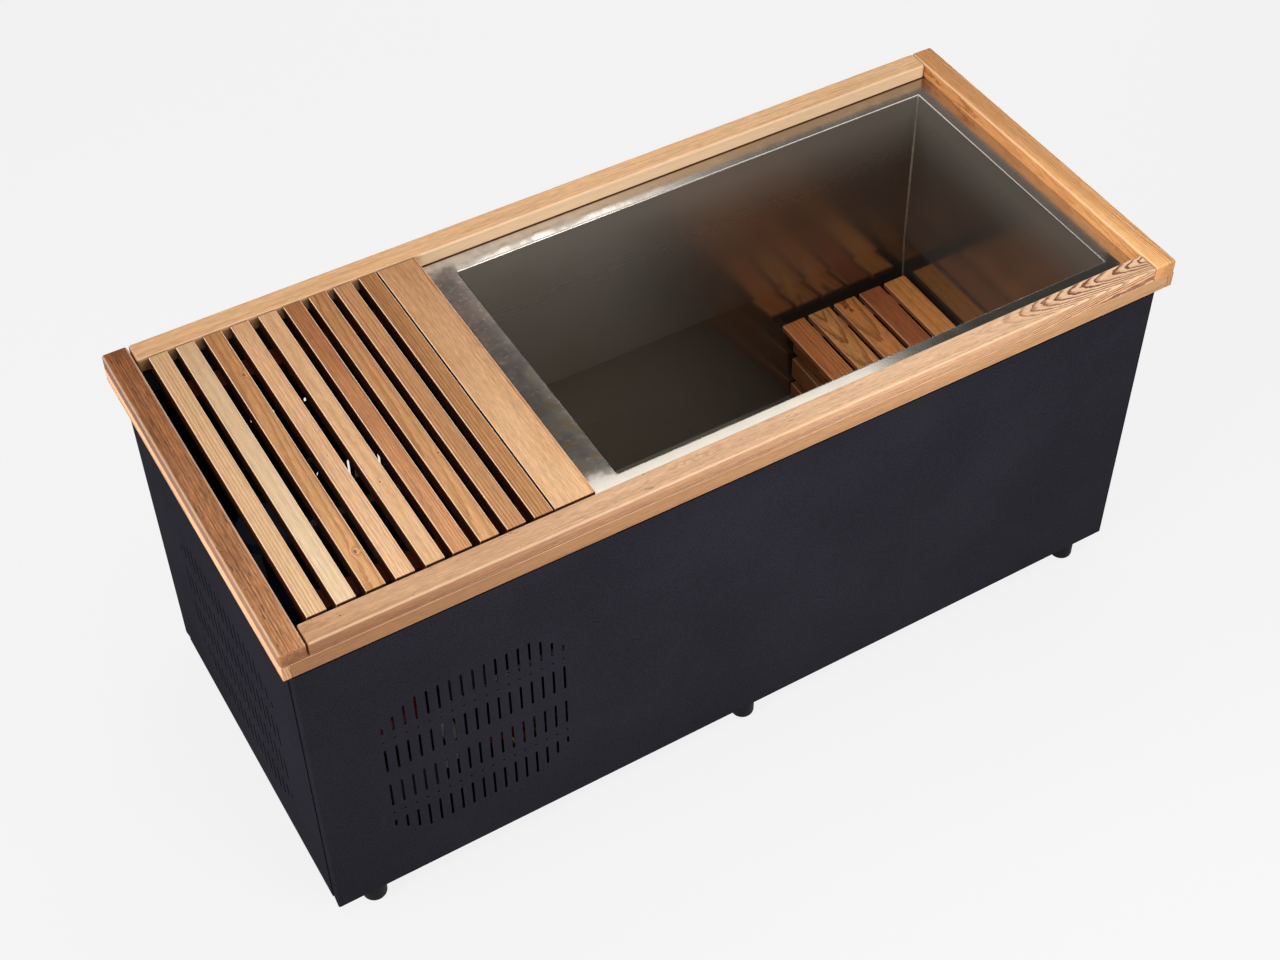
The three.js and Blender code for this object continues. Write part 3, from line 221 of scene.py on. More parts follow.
class Effects:
    """The shared effects, each a node group that is built once."""

    def __init__(self) -> None:
        """Build the groups."""
        self.knot = self._knot()
        self.figure = self._figure()
        self.mottle = self._mottle()
        self.streaks = self._streaks()

    @staticmethod
    def _start(name: str, inputs: dict[str, float | Colour | None], outputs: dict[str, str]) -> tuple:
        """Start a group.

        Args:
            name: The group's name.
            inputs: Each input's starting value, a vector where it is None.
            outputs: Each output's socket type.

        Returns:
            The tree, its input node and its output node.
        """
        made = bpy.data.node_groups.new(name, "ShaderNodeTree")
        tree = Tree(made)
        for label, start in inputs.items():
            kind = "NodeSocketFloat"
            if start is None:
                kind = "NodeSocketVector"
            elif isinstance(start, tuple):
                kind = "NodeSocketColor"
            socket = made.interface.new_socket(label, in_out="INPUT", socket_type=kind)
            if start is not None:
                socket.default_value = start
        for label, kind in outputs.items():
            made.interface.new_socket(label, in_out="OUTPUT", socket_type=kind)
        return tree, tree.node("NodeGroupInput").outputs, tree.node("NodeGroupOutput").inputs

    def _knot(self) -> bpy.types.NodeTree:
        """Build one knot: how far it pushes the rings aside, and how dark it is.

        Returns:
            The group.
        """
        inputs = {"Vector": None, "Across": 0.0, "Along": 0.0, "Size": 0.006}
        tree, given, out = self._start(
            "cedar_knot", inputs, {"Push": "NodeSocketFloat", "Dark": "NodeSocketFloat"}
        )
        across, _, along = tree.split(given["Vector"])
        side = tree.math("SUBTRACT", across, given["Across"])
        run = tree.math("MULTIPLY", tree.math("SUBTRACT", along, given["Along"]), 0.55)
        ripple = tree.noise(given["Vector"], 260.0, 2.0).outputs["Fac"]
        far = tree.math("SQRT", tree.math("ADD", tree.math("POWER", side, 2.0), tree.math("POWER", run, 2.0)))
        ratio = tree.math("DIVIDE", far, given["Size"])
        ratio = tree.math("ADD", ratio, tree.math("MULTIPLY", tree.math("SUBTRACT", ripple, 0.5), 0.5))
        fall = tree.math("EXPONENT", tree.math("MULTIPLY", tree.math("POWER", ratio, 2.0), -0.2))
        tree.feed(out["Push"], tree.math("MULTIPLY", fall, tree.math("MULTIPLY", given["Size"], 1.6)))
        tree.feed(out["Dark"], tree.remap(ratio, (0.55, 1.15), (1.0, 0.0), smooth=True))
        return tree.tree

    def _figure(self) -> bpy.types.NodeTree:
        """Build the figure of sawn cedar: growth rings about a leaning pith, fibres, pits and stains.

        Returns:
            The group.
        """
        inputs = {
            "Vector": None, "Seed": 0.0, "Pith Across": 0.03, "Pith Through": -0.2, "Tilt": 0.02, "Skew": 0.0,
            "Start": -10.0, "Spacing": 0.004, "Waver": 0.003, "Ragged": 0.15, "Push": 0.0, "Contrast": 0.6,
            "Calm": 1.0, "Fibre": 0.25, "Pits": 0.0,
            "Stain Amount": 0.3, "Light": (0.6, 0.4, 0.25, 1.0), "Dark": (0.35, 0.17, 0.08, 1.0),
            "Stain": (0.4, 0.2, 0.1, 1.0),
        }
        outputs = {"Color": "NodeSocketColor", "Height": "NodeSocketFloat", "Late Wood": "NodeSocketFloat"}
        tree, given, out = self._start("cedar_figure", inputs, outputs)
        across, through, along = tree.split(given["Vector"])
        moved = tree.vector("ADD", given["Vector"], tree.join(given["Seed"], given["Seed"], given["Seed"]))
        slow = tree.noise(tree.vector("MULTIPLY", moved, (11.0, 11.0, 2.6)), 1.0, 3.0, 0.45)
        bends = tree.split(tree.vector("SUBTRACT", slow.outputs["Color"], (0.5, 0.5, 0.5)))
        waver = tree.math("MULTIPLY", given["Waver"], 2.0)
        run = tree.math("SMOOTH_MAX", along, given["Start"], 0.1)
        sides = []
        for part, pith, lean, bend in zip(
            (across, through), ("Pith Across", "Pith Through"), ("Skew", "Tilt"), bends
        ):
            axis = tree.math("ADD", given[pith], tree.math("MULTIPLY", run, given[lean]))
            wavy = tree.math("MULTIPLY", bend, waver)
            sides.append(tree.math("ADD", tree.math("SUBTRACT", part, axis), wavy))
        squares = tree.math("ADD", *(tree.math("POWER", tree.math("ABSOLUTE", one), 2.0) for one in sides))
        radius = tree.math("ADD", tree.math("SQRT", squares), given["Push"])
        turn = tree.math("DIVIDE", radius, given["Spacing"])
        turn = tree.math("ADD", turn, tree.math("MULTIPLY", bends[2], 1.4))
        torn = tree.noise(tree.vector("MULTIPLY", moved, (130.0, 130.0, 60.0)), 1.0, 2.0).outputs["Fac"]
        jag = tree.math("MULTIPLY", tree.math("SUBTRACT", torn, 0.5), tree.math("MULTIPLY", given["Ragged"], 4.0))
        turn = tree.math("ADD", turn, jag)
        years = tree.noise(tree.join(tree.math("MULTIPLY", turn, 0.37), given["Seed"], 0.0), 1.0, 2.0)
        turn = tree.math("ADD", turn, tree.math("MULTIPLY", years.outputs["Fac"], 1.5))
        phase = tree.math("FRACT", turn)
        rise = tree.remap(phase, (0.4, 0.92), (0.0, 1.0), smooth=True)
        fall = tree.remap(phase, (0.92, 1.0), (1.0, 0.0), smooth=True)
        strength = tree.remap(years.outputs["Fac"], (0.3, 0.7), (0.35, 1.3))
        late = tree.math("MULTIPLY", tree.math("MULTIPLY", rise, fall), strength)
        fibre = tree.noise(tree.vector("MULTIPLY", moved, (620.0, 620.0, 40.0)), 1.0, 3.0, 0.65).outputs["Fac"]
        streak = tree.noise(tree.vector("MULTIPLY", moved, (230.0, 230.0, 3.0)), 1.0, 3.0, 0.6).outputs["Fac"]
        blotch = tree.noise(tree.vector("MULTIPLY", moved, (16.0, 16.0, 5.0)), 1.0, 4.0, 0.55).outputs["Fac"]
        speck = tree.noise(tree.vector("MULTIPLY", moved, (260.0, 260.0, 45.0)), 1.0, 1.0).outputs["Fac"]
        clear = tree.math("MULTIPLY", given["Contrast"], tree.remap(radius, (0.035, 0.06), (1.0, given["Calm"])))
        colour = tree.mix(tree.math("MULTIPLY", late, clear), given["Light"], given["Dark"])
        patch = tree.math("MULTIPLY", tree.remap(blotch, (0.42, 0.72), (0.0, 1.0), True), given["Stain Amount"])
        colour = tree.mix(patch, colour, given["Stain"])
        both = tree.math("ADD", tree.math("MULTIPLY", fibre, 0.62), tree.math("MULTIPLY", streak, 0.38))
        shade = tree.math("MULTIPLY", tree.math("SUBTRACT", both, 0.5), given["Fibre"])
        shade = tree.math("ADD", tree.math("MULTIPLY", shade, 7.0), 1.0)
        pit = tree.math("MULTIPLY", tree.remap(speck, (0.7, 0.76), (0.0, 1.0), True), given["Pits"])
        shade = tree.math("MULTIPLY", shade, tree.math("SUBTRACT", 1.0, pit))
        bright = tree.node("ShaderNodeHueSaturation")
        tree.feed(bright.inputs["Value"], shade)
        tree.feed(bright.inputs["Color"], colour)
        tree.feed(out["Color"], bright.outputs["Color"])
        height = tree.math("SUBTRACT", tree.math("MULTIPLY", fibre, 0.6), tree.math("MULTIPLY", late, 0.4))
        tree.feed(out["Height"], tree.math("SUBTRACT", height, pit))
        tree.feed(out["Late Wood"], late)
        return tree.tree

    def _mottle(self) -> bpy.types.NodeTree:
        """Build soft patches: a noise that is cut between two levels.

        Returns:
            The group.
        """
        inputs = {"Vector": None, "Scale": 8.0, "Low": 0.4, "High": 0.65}
        tree, given, out = self._start("mottle", inputs, {"Mask": "NodeSocketFloat"})
        cloud = tree.noise(given["Vector"], given["Scale"], 5.0, 0.6).outputs["Fac"]
        tree.feed(out["Mask"], tree.remap(cloud, (given["Low"], given["High"]), (0.0, 1.0), smooth=True))
        return tree.tree

    def _streaks(self) -> bpy.types.NodeTree:
        """Build fine lines that run one way, as rolling and polishing leave them.

        Returns:
            The group.
        """
        inputs = {"Vector": None, "Fine": 900.0, "Long": 14.0}
        tree, given, out = self._start("streaks", inputs, {"Line": "NodeSocketFloat"})
        x, y, z = tree.split(given["Vector"])
        drawn = tree.join(
            tree.math("MULTIPLY", x, given["Long"]), tree.math("MULTIPLY", y, given["Long"]),
            tree.math("MULTIPLY", z, given["Fine"]),
        )
        tree.feed(out["Line"], tree.noise(drawn, 1.0, 2.0, 0.6).outputs["Fac"])
        return tree.tree


@dataclass(frozen=True)
class Knot:
    """A knot or a pit on a board's upper face, by its place in the row frame, in metres."""

    x: float
    y: float
    size: float = 0.003


@dataclass(frozen=True)
class Figure:
    """How a board lies in its log, in metres, and in metres per metre from where the pith starts to lean."""

    pith: tuple[float, float]
    tilt: float = 0.0
    skew: float = 0.0
    spacing: float = 0.0045
    waver: float = 0.003
    contrast: float = 0.5
    ragged: float = 0.1
    calm: float = 1.0
    start: float = -10.0


class Cut(Enum):
    """The ways in which the boards were sawn."""

    STRAIGHT = Figure((0.3, -0.05), spacing=0.006, waver=0.002, contrast=0.9)
    FINE = Figure((0.2, -0.1), spacing=0.0028, waver=0.002, contrast=0.3)
    RIFT = Figure((0.16, -0.2), 0.01, 0.01, 0.0036, 0.003, 0.6)
    QUIET = Figure((0.09, -0.3), 0.005, 0.02, 0.0055, 0.003, 0.35)
    FLAT = Figure((0.02, -0.07), 0.012, 0.012, 0.0034, 0.002, 0.6, 0.08)
    FLAME = Figure((0.004, -0.05), 0.07, 0.0, 0.0065, 0.005, 0.85, 0.18)
    SIDE = Figure((-0.034, -0.006), 0.03, 0.02, 0.0026, 0.003, 2.0, 0.2, 0.2)
    TURNING = Figure((0.008, -0.089), 0.09, 0.0, 0.003, 0.003, 2.0, 0.2, 0.1, 0.52)


@dataclass(frozen=True)
class Cedar:
    """One board's colours, its cut and its marks. The shade along it is painted shade that darkens each end, for
    light falling off along the board and partly the board's own tone, low end first.
    """

    light: str
    dark: str
    stain: str
    cut: Cut = Cut.RIFT
    fade: tuple[float, float] = (0.0, 0.0)
    fibre: float = 0.2
    stain_amount: float = 0.3
    pits: float = 0.0
    roughness: float = 0.55
    knots: tuple[Knot, ...] = ()
    rubbed: tuple[float, float] = (0.3, 0.3)
    side_shade_along: tuple[float, float] = (0.0, 0.0)
    side_light: float = 0.0
    tucked: float = -10.0
    specular: float = 0.3
    grain: Grain = Grain.ALONG_Y


@dataclass(frozen=True)
class Steel:
    """A stainless surface."""

    tint: str
    stain: str
    roughness: tuple[float, float] = (0.16, 0.28)
    stain_amount: float = 0.25
    stain_scale: float = 5.0
    stain_levels: tuple[float, float] = (0.45, 0.7)
    wave: float = 0.0
    brushed: float = 0.0
    film: bool = False
    film_floor: float = 0.4
    film_low: tuple[float, float] = (0.4, 0.16)
    film_high: tuple[float, float] = (0.36, 0.34)
    film_heights: tuple[float, float, float, float] = (0.08, 0.4087, 0.56, 0.78)


@dataclass(frozen=True)
class Flange:
    """The basin's flange: polished along the front, dull elsewhere, and tarnished on the left with painted shade
    toward the plank, painted shade on the back strip and a painted shadow line under the back rail.
    """

    polished: str = "cfc8bb"
    dull: str = "cbc4ba"
    tarnish_and_shade: str = "655e57"
    stain: str = "6a5a3c"
    oxide: str = "3a3d42"
    rail_shadow_line: float = 0.3705
    roughness: tuple[float, float] = (0.12, 0.22)


@dataclass(frozen=True)
class Vent:
    """Where a panel's vent lies, the axis that its sheet faces, and where its folds end, along and up; painted
    shade darkens the slot walls, the folded end edge and a strip under the fascia.
    """

    axis: int
    low: tuple[float, float, float]
    high: tuple[float, float, float]
    ends: tuple[float, float]


@dataclass(frozen=True)
class Paint:
    """A coat, plastic or rubber with soft patches and a fine surface, with painted shade in and beside a vent."""

    colour: str
    patch: str
    roughness: float = 0.5
    metallic: float = 0.0
    scale: float = 6.0
    peel_scale: float = 900.0
    peel: float = 0.05
    specular: float = 0.5
    grit: float = 0.5
    vent: Vent | None = None


class Workshop:
    """Makes the materials, and turns bmeshes into pieces of the model."""

    def __init__(self, effects: Effects) -> None:
        """Keep the shared effects."""
        self.effects = effects

    @staticmethod
    def _start(name: str) -> tuple[bpy.types.Material, Tree, bpy.types.Node, bpy.types.Node]:
        """Start a material with a Principled shader.

        Args:
            name: The material's name.

        Returns:
            The material, its tree, the shader, and the coordinates' node.
        """
        material = bpy.data.materials.new(name)
        material.use_nodes = True
        tree = Tree(material.node_tree)
        shader = tree.node("ShaderNodeBsdfPrincipled")
        out = tree.node("ShaderNodeOutputMaterial")
        tree.feed(out.inputs["Surface"], shader.outputs[0])
        return material, tree, shader, tree.node("ShaderNodeTexCoord")

    @staticmethod
    def _bump(tree: Tree, shader: bpy.types.Node, height: Socket, strength: float, distance: float) -> None:
        """Raise a shader's surface by a height."""
        bump = tree.node("ShaderNodeBump")
        bump.inputs["Strength"].default_value = strength
        bump.inputs["Distance"].default_value = distance
        tree.feed(bump.inputs["Height"], height)
        tree.feed(shader.inputs["Normal"], bump.outputs["Normal"])

    def cedar(self, name: str, board: Cedar, low: Vector, high: Vector, sides: float = 0.0, arris: float = 0.35) -> bpy.types.Material:
        """Make a board's own material.

        Args:
            name: The material's name.
            board: Its colours and figure.
            low: The board's lowest corner. Its figure is drawn from its middle.
            high: Its highest corner.
            sides: How far painted shade darkens its sides and ends, which lie in the gaps.
            arris: How strong the painted highlight on its eased edges is, partly fresh wood worn bare.

        Returns:
            The material.
        """
        material, tree, shader, coordinates = self._start(name)
        turn = Matrix(board.grain.value)
        mapping = tree.node("ShaderNodeMapping")
        tree.feed(mapping.inputs["Vector"], coordinates.outputs["Object"])
        mapping.inputs["Location"].default_value = turn @ ((low + high) / -2)
        mapping.inputs["Rotation"].default_value = turn.to_euler()
        vector = mapping.outputs[0]
        figure = board.cut.value
        push: Value = 0.0
        darkest: Socket | None = None
        for knot in board.knots:
            across, _, along = turn @ (Vector((knot.x, knot.y, high.z)) - (low + high) / 2)
            made = tree.group(self.effects.knot, Vector=vector, Across=across, Along=along, Size=knot.size)
            push = tree.math("ADD", made.outputs["Push"], push)
            dark = made.outputs["Dark"]
            darkest = dark if darkest is None else tree.math("MAXIMUM", dark, darkest)
        wood = tree.group(
            self.effects.figure, Vector=vector, Seed=sum(map(ord, name)) * 0.37, Pith_Across=figure.pith[0],
            Pith_Through=figure.pith[1], Tilt=figure.tilt, Skew=figure.skew, Spacing=figure.spacing,
            Start=figure.start, Waver=figure.waver, Ragged=figure.ragged, Push=push, Contrast=figure.contrast, Calm=figure.calm, Fibre=board.fibre, Pits=board.pits,
            Stain_Amount=board.stain_amount, Light=srgb(board.light), Dark=srgb(board.dark),
            Stain=srgb(board.stain),
        )
        colour = wood.outputs["Color"]
        if darkest is not None:
            colour = tree.mix(tree.math("MULTIPLY", darkest, 0.8), colour, srgb("5e3219"))
        axis = [abs(part) for part in turn[2]].index(1)
        half = (high - low)[axis] / 2
        # Painted shade along the board, darker towards one end, for light falling off; partly the board's own
        # tone.
        fade = tree.remap(tree.split(vector)[2], (-half, half), board.fade)
        colour = tree.mix(fade, colour, WEATHERED_AND_SHADE, "MULTIPLY")
        facing = tree.math("ABSOLUTE", tree.split(coordinates.outputs["Normal"])[axis])
        colour = tree.mix(tree.remap(facing, (0.75, 0.95), (0.0, 0.55)), colour, WEATHERED_AND_SHADE, "MULTIPLY")
        across = [abs(part) for part in turn[0]].index(1)
        aside = tree.split(vector)[0]
        from_edge = tree.math("SUBTRACT", (high - low)[across] / 2, tree.math("ABSOLUTE", aside))
        broken = tree.noise(tree.vector("MULTIPLY", vector, (90.0, 90.0, 14.0)), 1.0, 3.0).outputs["Fac"]
        worn = tree.math("ADD", from_edge, tree.math("MULTIPLY", broken, 0.014))
        worn = tree.remap(worn, (0.009, 0.0135), (1.0, 0.0))
        worn = tree.math("MULTIPLY", worn, tree.remap(aside, (-0.001, 0.001), board.rubbed))
        colour = tree.mix(worn, colour, RUBBED, "MULTIPLY")
        through = [abs(part) for part in turn[1]].index(1)
        normal = tree.split(coordinates.outputs["Normal"])
        # Painted highlight on the eased edges where light catches them, partly fresh wood worn bare.
        eased = tree.math("ABSOLUTE", tree.math("MULTIPLY", normal[across], normal[through]))
        colour = tree.mix(tree.remap(eased, (0.12, 0.4), (0.0, arris)), colour, FRESH_WOOD_AND_HIGHLIGHT)
        beside = tree.remap(tree.math("ABSOLUTE", normal[across]), (0.7, 0.99), (0.0, 1.0))
        # Painted light on the side faces.
        if board.side_light:
            colour = tree.mix(tree.math("MULTIPLY", beside, board.side_light), colour, FRESH_WOOD_AND_HIGHLIGHT)
        # Painted shade on the side faces, darker towards one end.
        if any(board.side_shade_along):
            painted_shade = tree.remap(tree.split(vector)[2], (-half, half * 0.3), board.side_shade_along)
            colour = tree.mix(tree.math("MULTIPLY", beside, painted_shade), colour, WEATHERED_AND_SHADE, "MULTIPLY")
        # Painted shade on the inner side face behind the cover, where the slat ends shade it.
        if board.tucked > -half:
            behind = tree.remap(tree.split(vector)[2], (board.tucked - 0.02, board.tucked), (0.9, 0.0))
            behind = tree.math("MULTIPLY", behind, tree.remap(normal[across], (-0.7, -0.5), (1.0, 0.0)))
            colour = tree.mix(behind, colour, WEATHERED_AND_SHADE, "MULTIPLY")
        # Painted shade on the side and end faces in the gaps between boards.
        if sides:
            ends = tree.remap(facing, (0.45, 0.9), (0.0, 1.0))
            hidden = tree.math("MULTIPLY", tree.math("MAXIMUM", beside, ends), sides)
            colour = tree.mix(hidden, colour, GAP_SHADE, "MULTIPLY")
        tree.feed(shader.inputs["Base Color"], colour)
        rough = (board.roughness - 0.06, board.roughness + 0.08)
        tree.feed(shader.inputs["Roughness"], tree.remap(wood.outputs["Late Wood"], (0.0, 1.0), rough))
        shader.inputs["Specular IOR Level"].default_value = board.specular
        self._bump(tree, shader, wood.outputs["Height"], 0.4, 0.0005)
        return material

    def steel(self, name: str, look: Steel) -> bpy.types.Material:
        """Make a stainless material.

        Args:
            name: The material's name.
            look: The surface.

        Returns:
            The material.
        """
        material, tree, shader, coordinates = self._start(name)
        place = coordinates.outputs["Object"]
        low, high = look.stain_levels
        stain = tree.group(self.effects.mottle, Vector=place, Scale=look.stain_scale, Low=low, High=high)
        amount = tree.math("MULTIPLY", stain.outputs["Mask"], look.stain_amount)
        colour = tree.mix(amount, srgb(look.tint), srgb(look.stain))
        tree.feed(shader.inputs["Base Color"], colour)
        line = tree.group(self.effects.streaks, Vector=place, Fine=700.0, Long=10.0).outputs["Line"]
        both = tree.math("ADD", tree.math("MULTIPLY", line, 0.5), tree.math("MULTIPLY", amount, 0.5))
        cloudy = tree.remap(both, (0.15, 0.6), look.roughness)
        tree.feed(shader.inputs["Roughness"], cloudy)
        shader.inputs["Metallic"].default_value = 1.0
        if look.film:
            height = tree.split(place)[2]
            bottom, fold, haze, top = look.film_heights
            below = tree.remap(height, (bottom, fold), look.film_low)
            above = tree.remap(height, (haze, top), look.film_high)
            step = tree.remap(height, (fold - 0.001, fold + 0.001), (0.0, 1.0))
            film = tree.math("ADD", below, tree.math("MULTIPLY", step, tree.math("SUBTRACT", above, below)))
            along = tree.split(place)[0]
            spread = tree.remap(along, (0.1, 0.45), (1.0, 0.42))
            spread = tree.math("MAXIMUM", spread, tree.remap(along, (0.86, 0.872), (0.0, 0.5)))
            spread = tree.math("MAXIMUM", spread, tree.remap(height, (haze, top), (0.0, 1.0)))
            film = tree.math("MULTIPLY", film, spread)
            # Painted shade: the walls darkened above the fold towards the right, standing for dimmer reflections
            # there.
            painted_shade = tree.remap(along, (0.86, 0.872), (1.0, 0.7))
            painted_shade = tree.math("MULTIPLY", painted_shade, tree.remap(along, (0.05, 0.45), (0.0, 1.0)))
            painted_shade = tree.math("MULTIPLY", painted_shade, tree.remap(height, (fold + 0.03, haze + 0.02), (0.0, 0.4)))
            painted_shade = tree.math("MULTIPLY", painted_shade, tree.remap(height, (haze + 0.06, top), (1.0, 0.45)))
            tree.feed(shader.inputs["Base Color"], tree.mix(painted_shade, colour, SHADED, "MULTIPLY"))
            floor = tree.remap(height, (bottom - 0.002, bottom), (look.film_floor, 0.0))
            tree.feed(shader.inputs["Metallic"], tree.math("SUBTRACT", 1.0, tree.math("MAXIMUM", film, floor)))
            cloudy = tree.math("MULTIPLY", cloudy, tree.remap(along, (0.86, 0.872), (1.0, 0.6)))
            cloudy = tree.math("ADD", cloudy, tree.remap(height, (fold, top), (0.0, 0.14)))
            tree.feed(shader.inputs["Roughness"], cloudy)
        shader.inputs["Anisotropic"].default_value = look.brushed
        shader.inputs["Anisotropic Rotation"].default_value = 0.25
        if look.wave:
            sag = tree.noise(place, 2.2, 2.0, 0.5).outputs["Fac"]
            self._bump(tree, shader, sag, 1.0, look.wave)
        return material

    def flange(self, name: str, look: Flange, low: Vector, high: Vector) -> bpy.types.Material:
        """Make the basin flange's material.

        Args:
            name: The material's name.
            look: The finish.
            low: The basin opening's lowest corner.
            high: Its highest corner.

        Returns:
            The material.
        """
        material, tree, shader, coordinates = self._start(name)
        place = coordinates.outputs["Object"]
        cloud = tree.noise(place, 20.0, 3.0, 0.55).outputs["Fac"]
        drift = tree.math("MULTIPLY", tree.math("SUBTRACT", cloud, 0.5), 0.09)
        x, y, _ = tree.split(place)
        front = tree.remap(tree.math("ADD", y, drift), (low.y + 0.035, low.y), (0.0, 1.0), True)
        back = tree.remap(tree.math("ADD", y, drift), (high.y - 0.005, high.y + 0.035), (0.0, 1.0), True)
        left = tree.remap(x, (low.x + 0.004, low.x - 0.001), (0.0, 1.0))
        left = tree.math("MULTIPLY", left, tree.math("SUBTRACT", 1.0, tree.math("MAXIMUM", front, back)))
        colour = tree.mix(front, srgb(look.dull), srgb(look.polished))
        # Tarnish on the left flange, with painted shade deepening toward the plank; on the back strip, painted
        # shade that darkens towards the right in place of a dimmer reflection.
        tarnish_and_shade_mask = tree.math("MULTIPLY", back, tree.remap(x, (0.1, 0.5), (0.0, 0.42)))
        tarnish_and_shade_mask = tree.math("MAXIMUM", tree.math("MULTIPLY", left, tree.remap(x, (low.x - 0.03, low.x), (1.0, 0.8))), tarnish_and_shade_mask)
        colour = tree.mix(tarnish_and_shade_mask, colour, srgb(look.tarnish_and_shade))
        # The left flange darker towards the back.
        far = tree.math("MULTIPLY", left, tree.remap(y, (-0.1, 0.15), (0.0, 0.4)))
        colour = tree.mix(far, colour, SHADED)
        dark = tree.group(self.effects.mottle, Vector=place, Scale=16.0, Low=0.42, High=0.62).outputs["Mask"]
        dark = tree.math("MULTIPLY", dark, tree.math("MULTIPLY", left, 0.45))
        colour = tree.mix(dark, colour, srgb(look.oxide))
        fleck = tree.group(self.effects.mottle, Vector=place, Scale=85.0, Low=0.52, High=0.72).outputs["Mask"]
        fleck = tree.math("MULTIPLY", fleck, tree.remap(front, (0.0, 1.0), (0.14, 0.0)))
        colour = tree.mix(fleck, colour, srgb(look.dull))
        spots = tree.group(self.effects.mottle, Vector=place, Scale=34.0, Low=0.46, High=0.66).outputs["Mask"]
        near = tree.remap(y, (low.y + 0.4, low.y + 0.15), (0.1, 0.75))
        worn = tree.math("MULTIPLY", back, tree.remap(x, (-0.2, 0.3), (1.0, 0.0)))
        near = tree.math("MAXIMUM", tree.math("MULTIPLY", left, near), tree.math("MULTIPLY", worn, 0.25))
        spots = tree.math("MULTIPLY", spots, near)
        colour = tree.mix(spots, colour, srgb(look.stain))
        # Painted shadow line under the back rail's inner face.
        rail_shadow_line = tree.remap(y, (look.rail_shadow_line - 0.006, look.rail_shadow_line - 0.004), (0.0, 1.0))
        tree.feed(shader.inputs["Base Color"], tree.mix(rail_shadow_line, colour, SHADED))
        shiny, matt = look.roughness
        rough = tree.remap(front, (0.0, 1.0), (matt, shiny))
        rough = tree.math("ADD", rough, tree.math("MULTIPLY", tree.math("SUBTRACT", cloud, 0.5), 0.07))
        rough = tree.math("ADD", rough, tree.math("MULTIPLY", worn, 0.4))
        tree.feed(shader.inputs["Roughness"], tree.math("MAXIMUM", rough, 0.04))
        shader.inputs["Metallic"].default_value = 1.0
        return material

    def paint(self, name: str, look: Paint) -> bpy.types.Material:
        """Make a coated, plastic or rubber material.

        Args:
            name: The material's name.
            look: The coat.

        Returns:
            The material.
        """
        material, tree, shader, coordinates = self._start(name)
        place = coordinates.outputs["Object"]
        patch = tree.group(self.effects.mottle, Vector=place, Scale=look.scale, Low=0.35, High=0.7).outputs["Mask"]
        grit = tree.group(self.effects.mottle, Vector=place, Scale=look.scale * 140, Low=0.3, High=0.7)
        grit = tree.math("MULTIPLY", grit.outputs["Mask"], look.grit)
        patch = tree.math("ADD", tree.math("MULTIPLY", patch, 1.0 - look.grit), grit)
        colour = tree.mix(patch, srgb(look.colour), srgb(look.patch))
        # Painted shade on the slot walls inside the vent.
        if look.vent:
            turned = tree.math("ABSOLUTE", tree.split(coordinates.outputs["Normal"])[look.vent.axis])
            cut = tree.remap(turned, (0.4, 0.6), (1.0, 0.0))
            for part, low, high in zip(tree.split(place), look.vent.low, look.vent.high):
                cut = tree.math("MULTIPLY", cut, tree.remap(part, (low - 0.001, low), (0.0, 1.0)))
                cut = tree.math("MULTIPLY", cut, tree.remap(part, (high, high + 0.001), (1.0, 0.0)))
            # Painted shade along the panel's folded end edge and in a strip under the fascia.
            for way, end in zip((1 - look.vent.axis, 2), look.vent.ends):
                fold = tree.remap(tree.split(place)[way], (end - 0.006, end - 0.004), (0.0, 0.9))
                cut = tree.math("MAXIMUM", cut, fold)
            colour = tree.mix(cut, colour, SHADED, "MULTIPLY")
        tree.feed(shader.inputs["Base Color"], colour)
        rough = (look.roughness - 0.05, look.roughness + 0.06)
        tree.feed(shader.inputs["Roughness"], tree.remap(patch, (0.0, 1.0), rough))
        shader.inputs["Metallic"].default_value = look.metallic
        shader.inputs["Specular IOR Level"].default_value = look.specular
        peel = tree.noise(place, look.peel_scale, 2.0, 0.6).outputs["Fac"]
        self._bump(tree, shader, peel, look.peel, 0.001)
        return material

    @staticmethod
    def piece(
        name: str, mesh: bmesh.types.BMesh, materials: Sequence[bpy.types.Material], body: Body, slot: str,
        replaces: Iterable[str] = (), smooth_angle: float = 40.0,
    ) -> bpy.types.Object:
        """Turn a bmesh into a piece that rides on a body.

        Args:
            name: The piece's name.
            mesh: Its shape, in the row frame. It is freed.
            materials: Its materials.
            body: What it rides on.
            slot: The record's material slot; not used.
            replaces: The CAD nodes that it stands for.
            smooth_angle: The angle in degrees above which an edge is sharp.

        Returns:
            The new object.
        """
        data = bpy.data.meshes.new(name)
        mesh.to_mesh(data)
        mesh.free()
        for material in materials:
            data.materials.append(material)
        data.shade_smooth()
        data.set_sharp_from_angle(angle=math.radians(smooth_angle))
        made = bpy.data.objects.new(name, data)
        bpy.context.scene.collection.objects.link(made)
        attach(made, body.value)
        nodes = list(replaces)
        if nodes:
            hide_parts(*nodes)
        LOG.info("%s: %d faces", name, len(data.polygons))
        return made

    @staticmethod
    def dress(nodes: Iterable[str], material: bpy.types.Material) -> None:
        """Give CAD nodes that keep their shape a finish."""
        for name in nodes:
            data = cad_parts[name].data
            data.materials.clear()
            data.materials.append(material)
            LOG.info("%s: %s", name, material.name)


def flatten(mesh: bmesh.types.BMesh, least: float) -> None:
    """Draw a narrow border inside every face above an area, so that its shading stays flat."""
    wide = [face for face in mesh.faces if face.calc_area() > least]
    bmesh.ops.inset_individual(mesh, faces=wide, thickness=0.0003, use_even_offset=True)


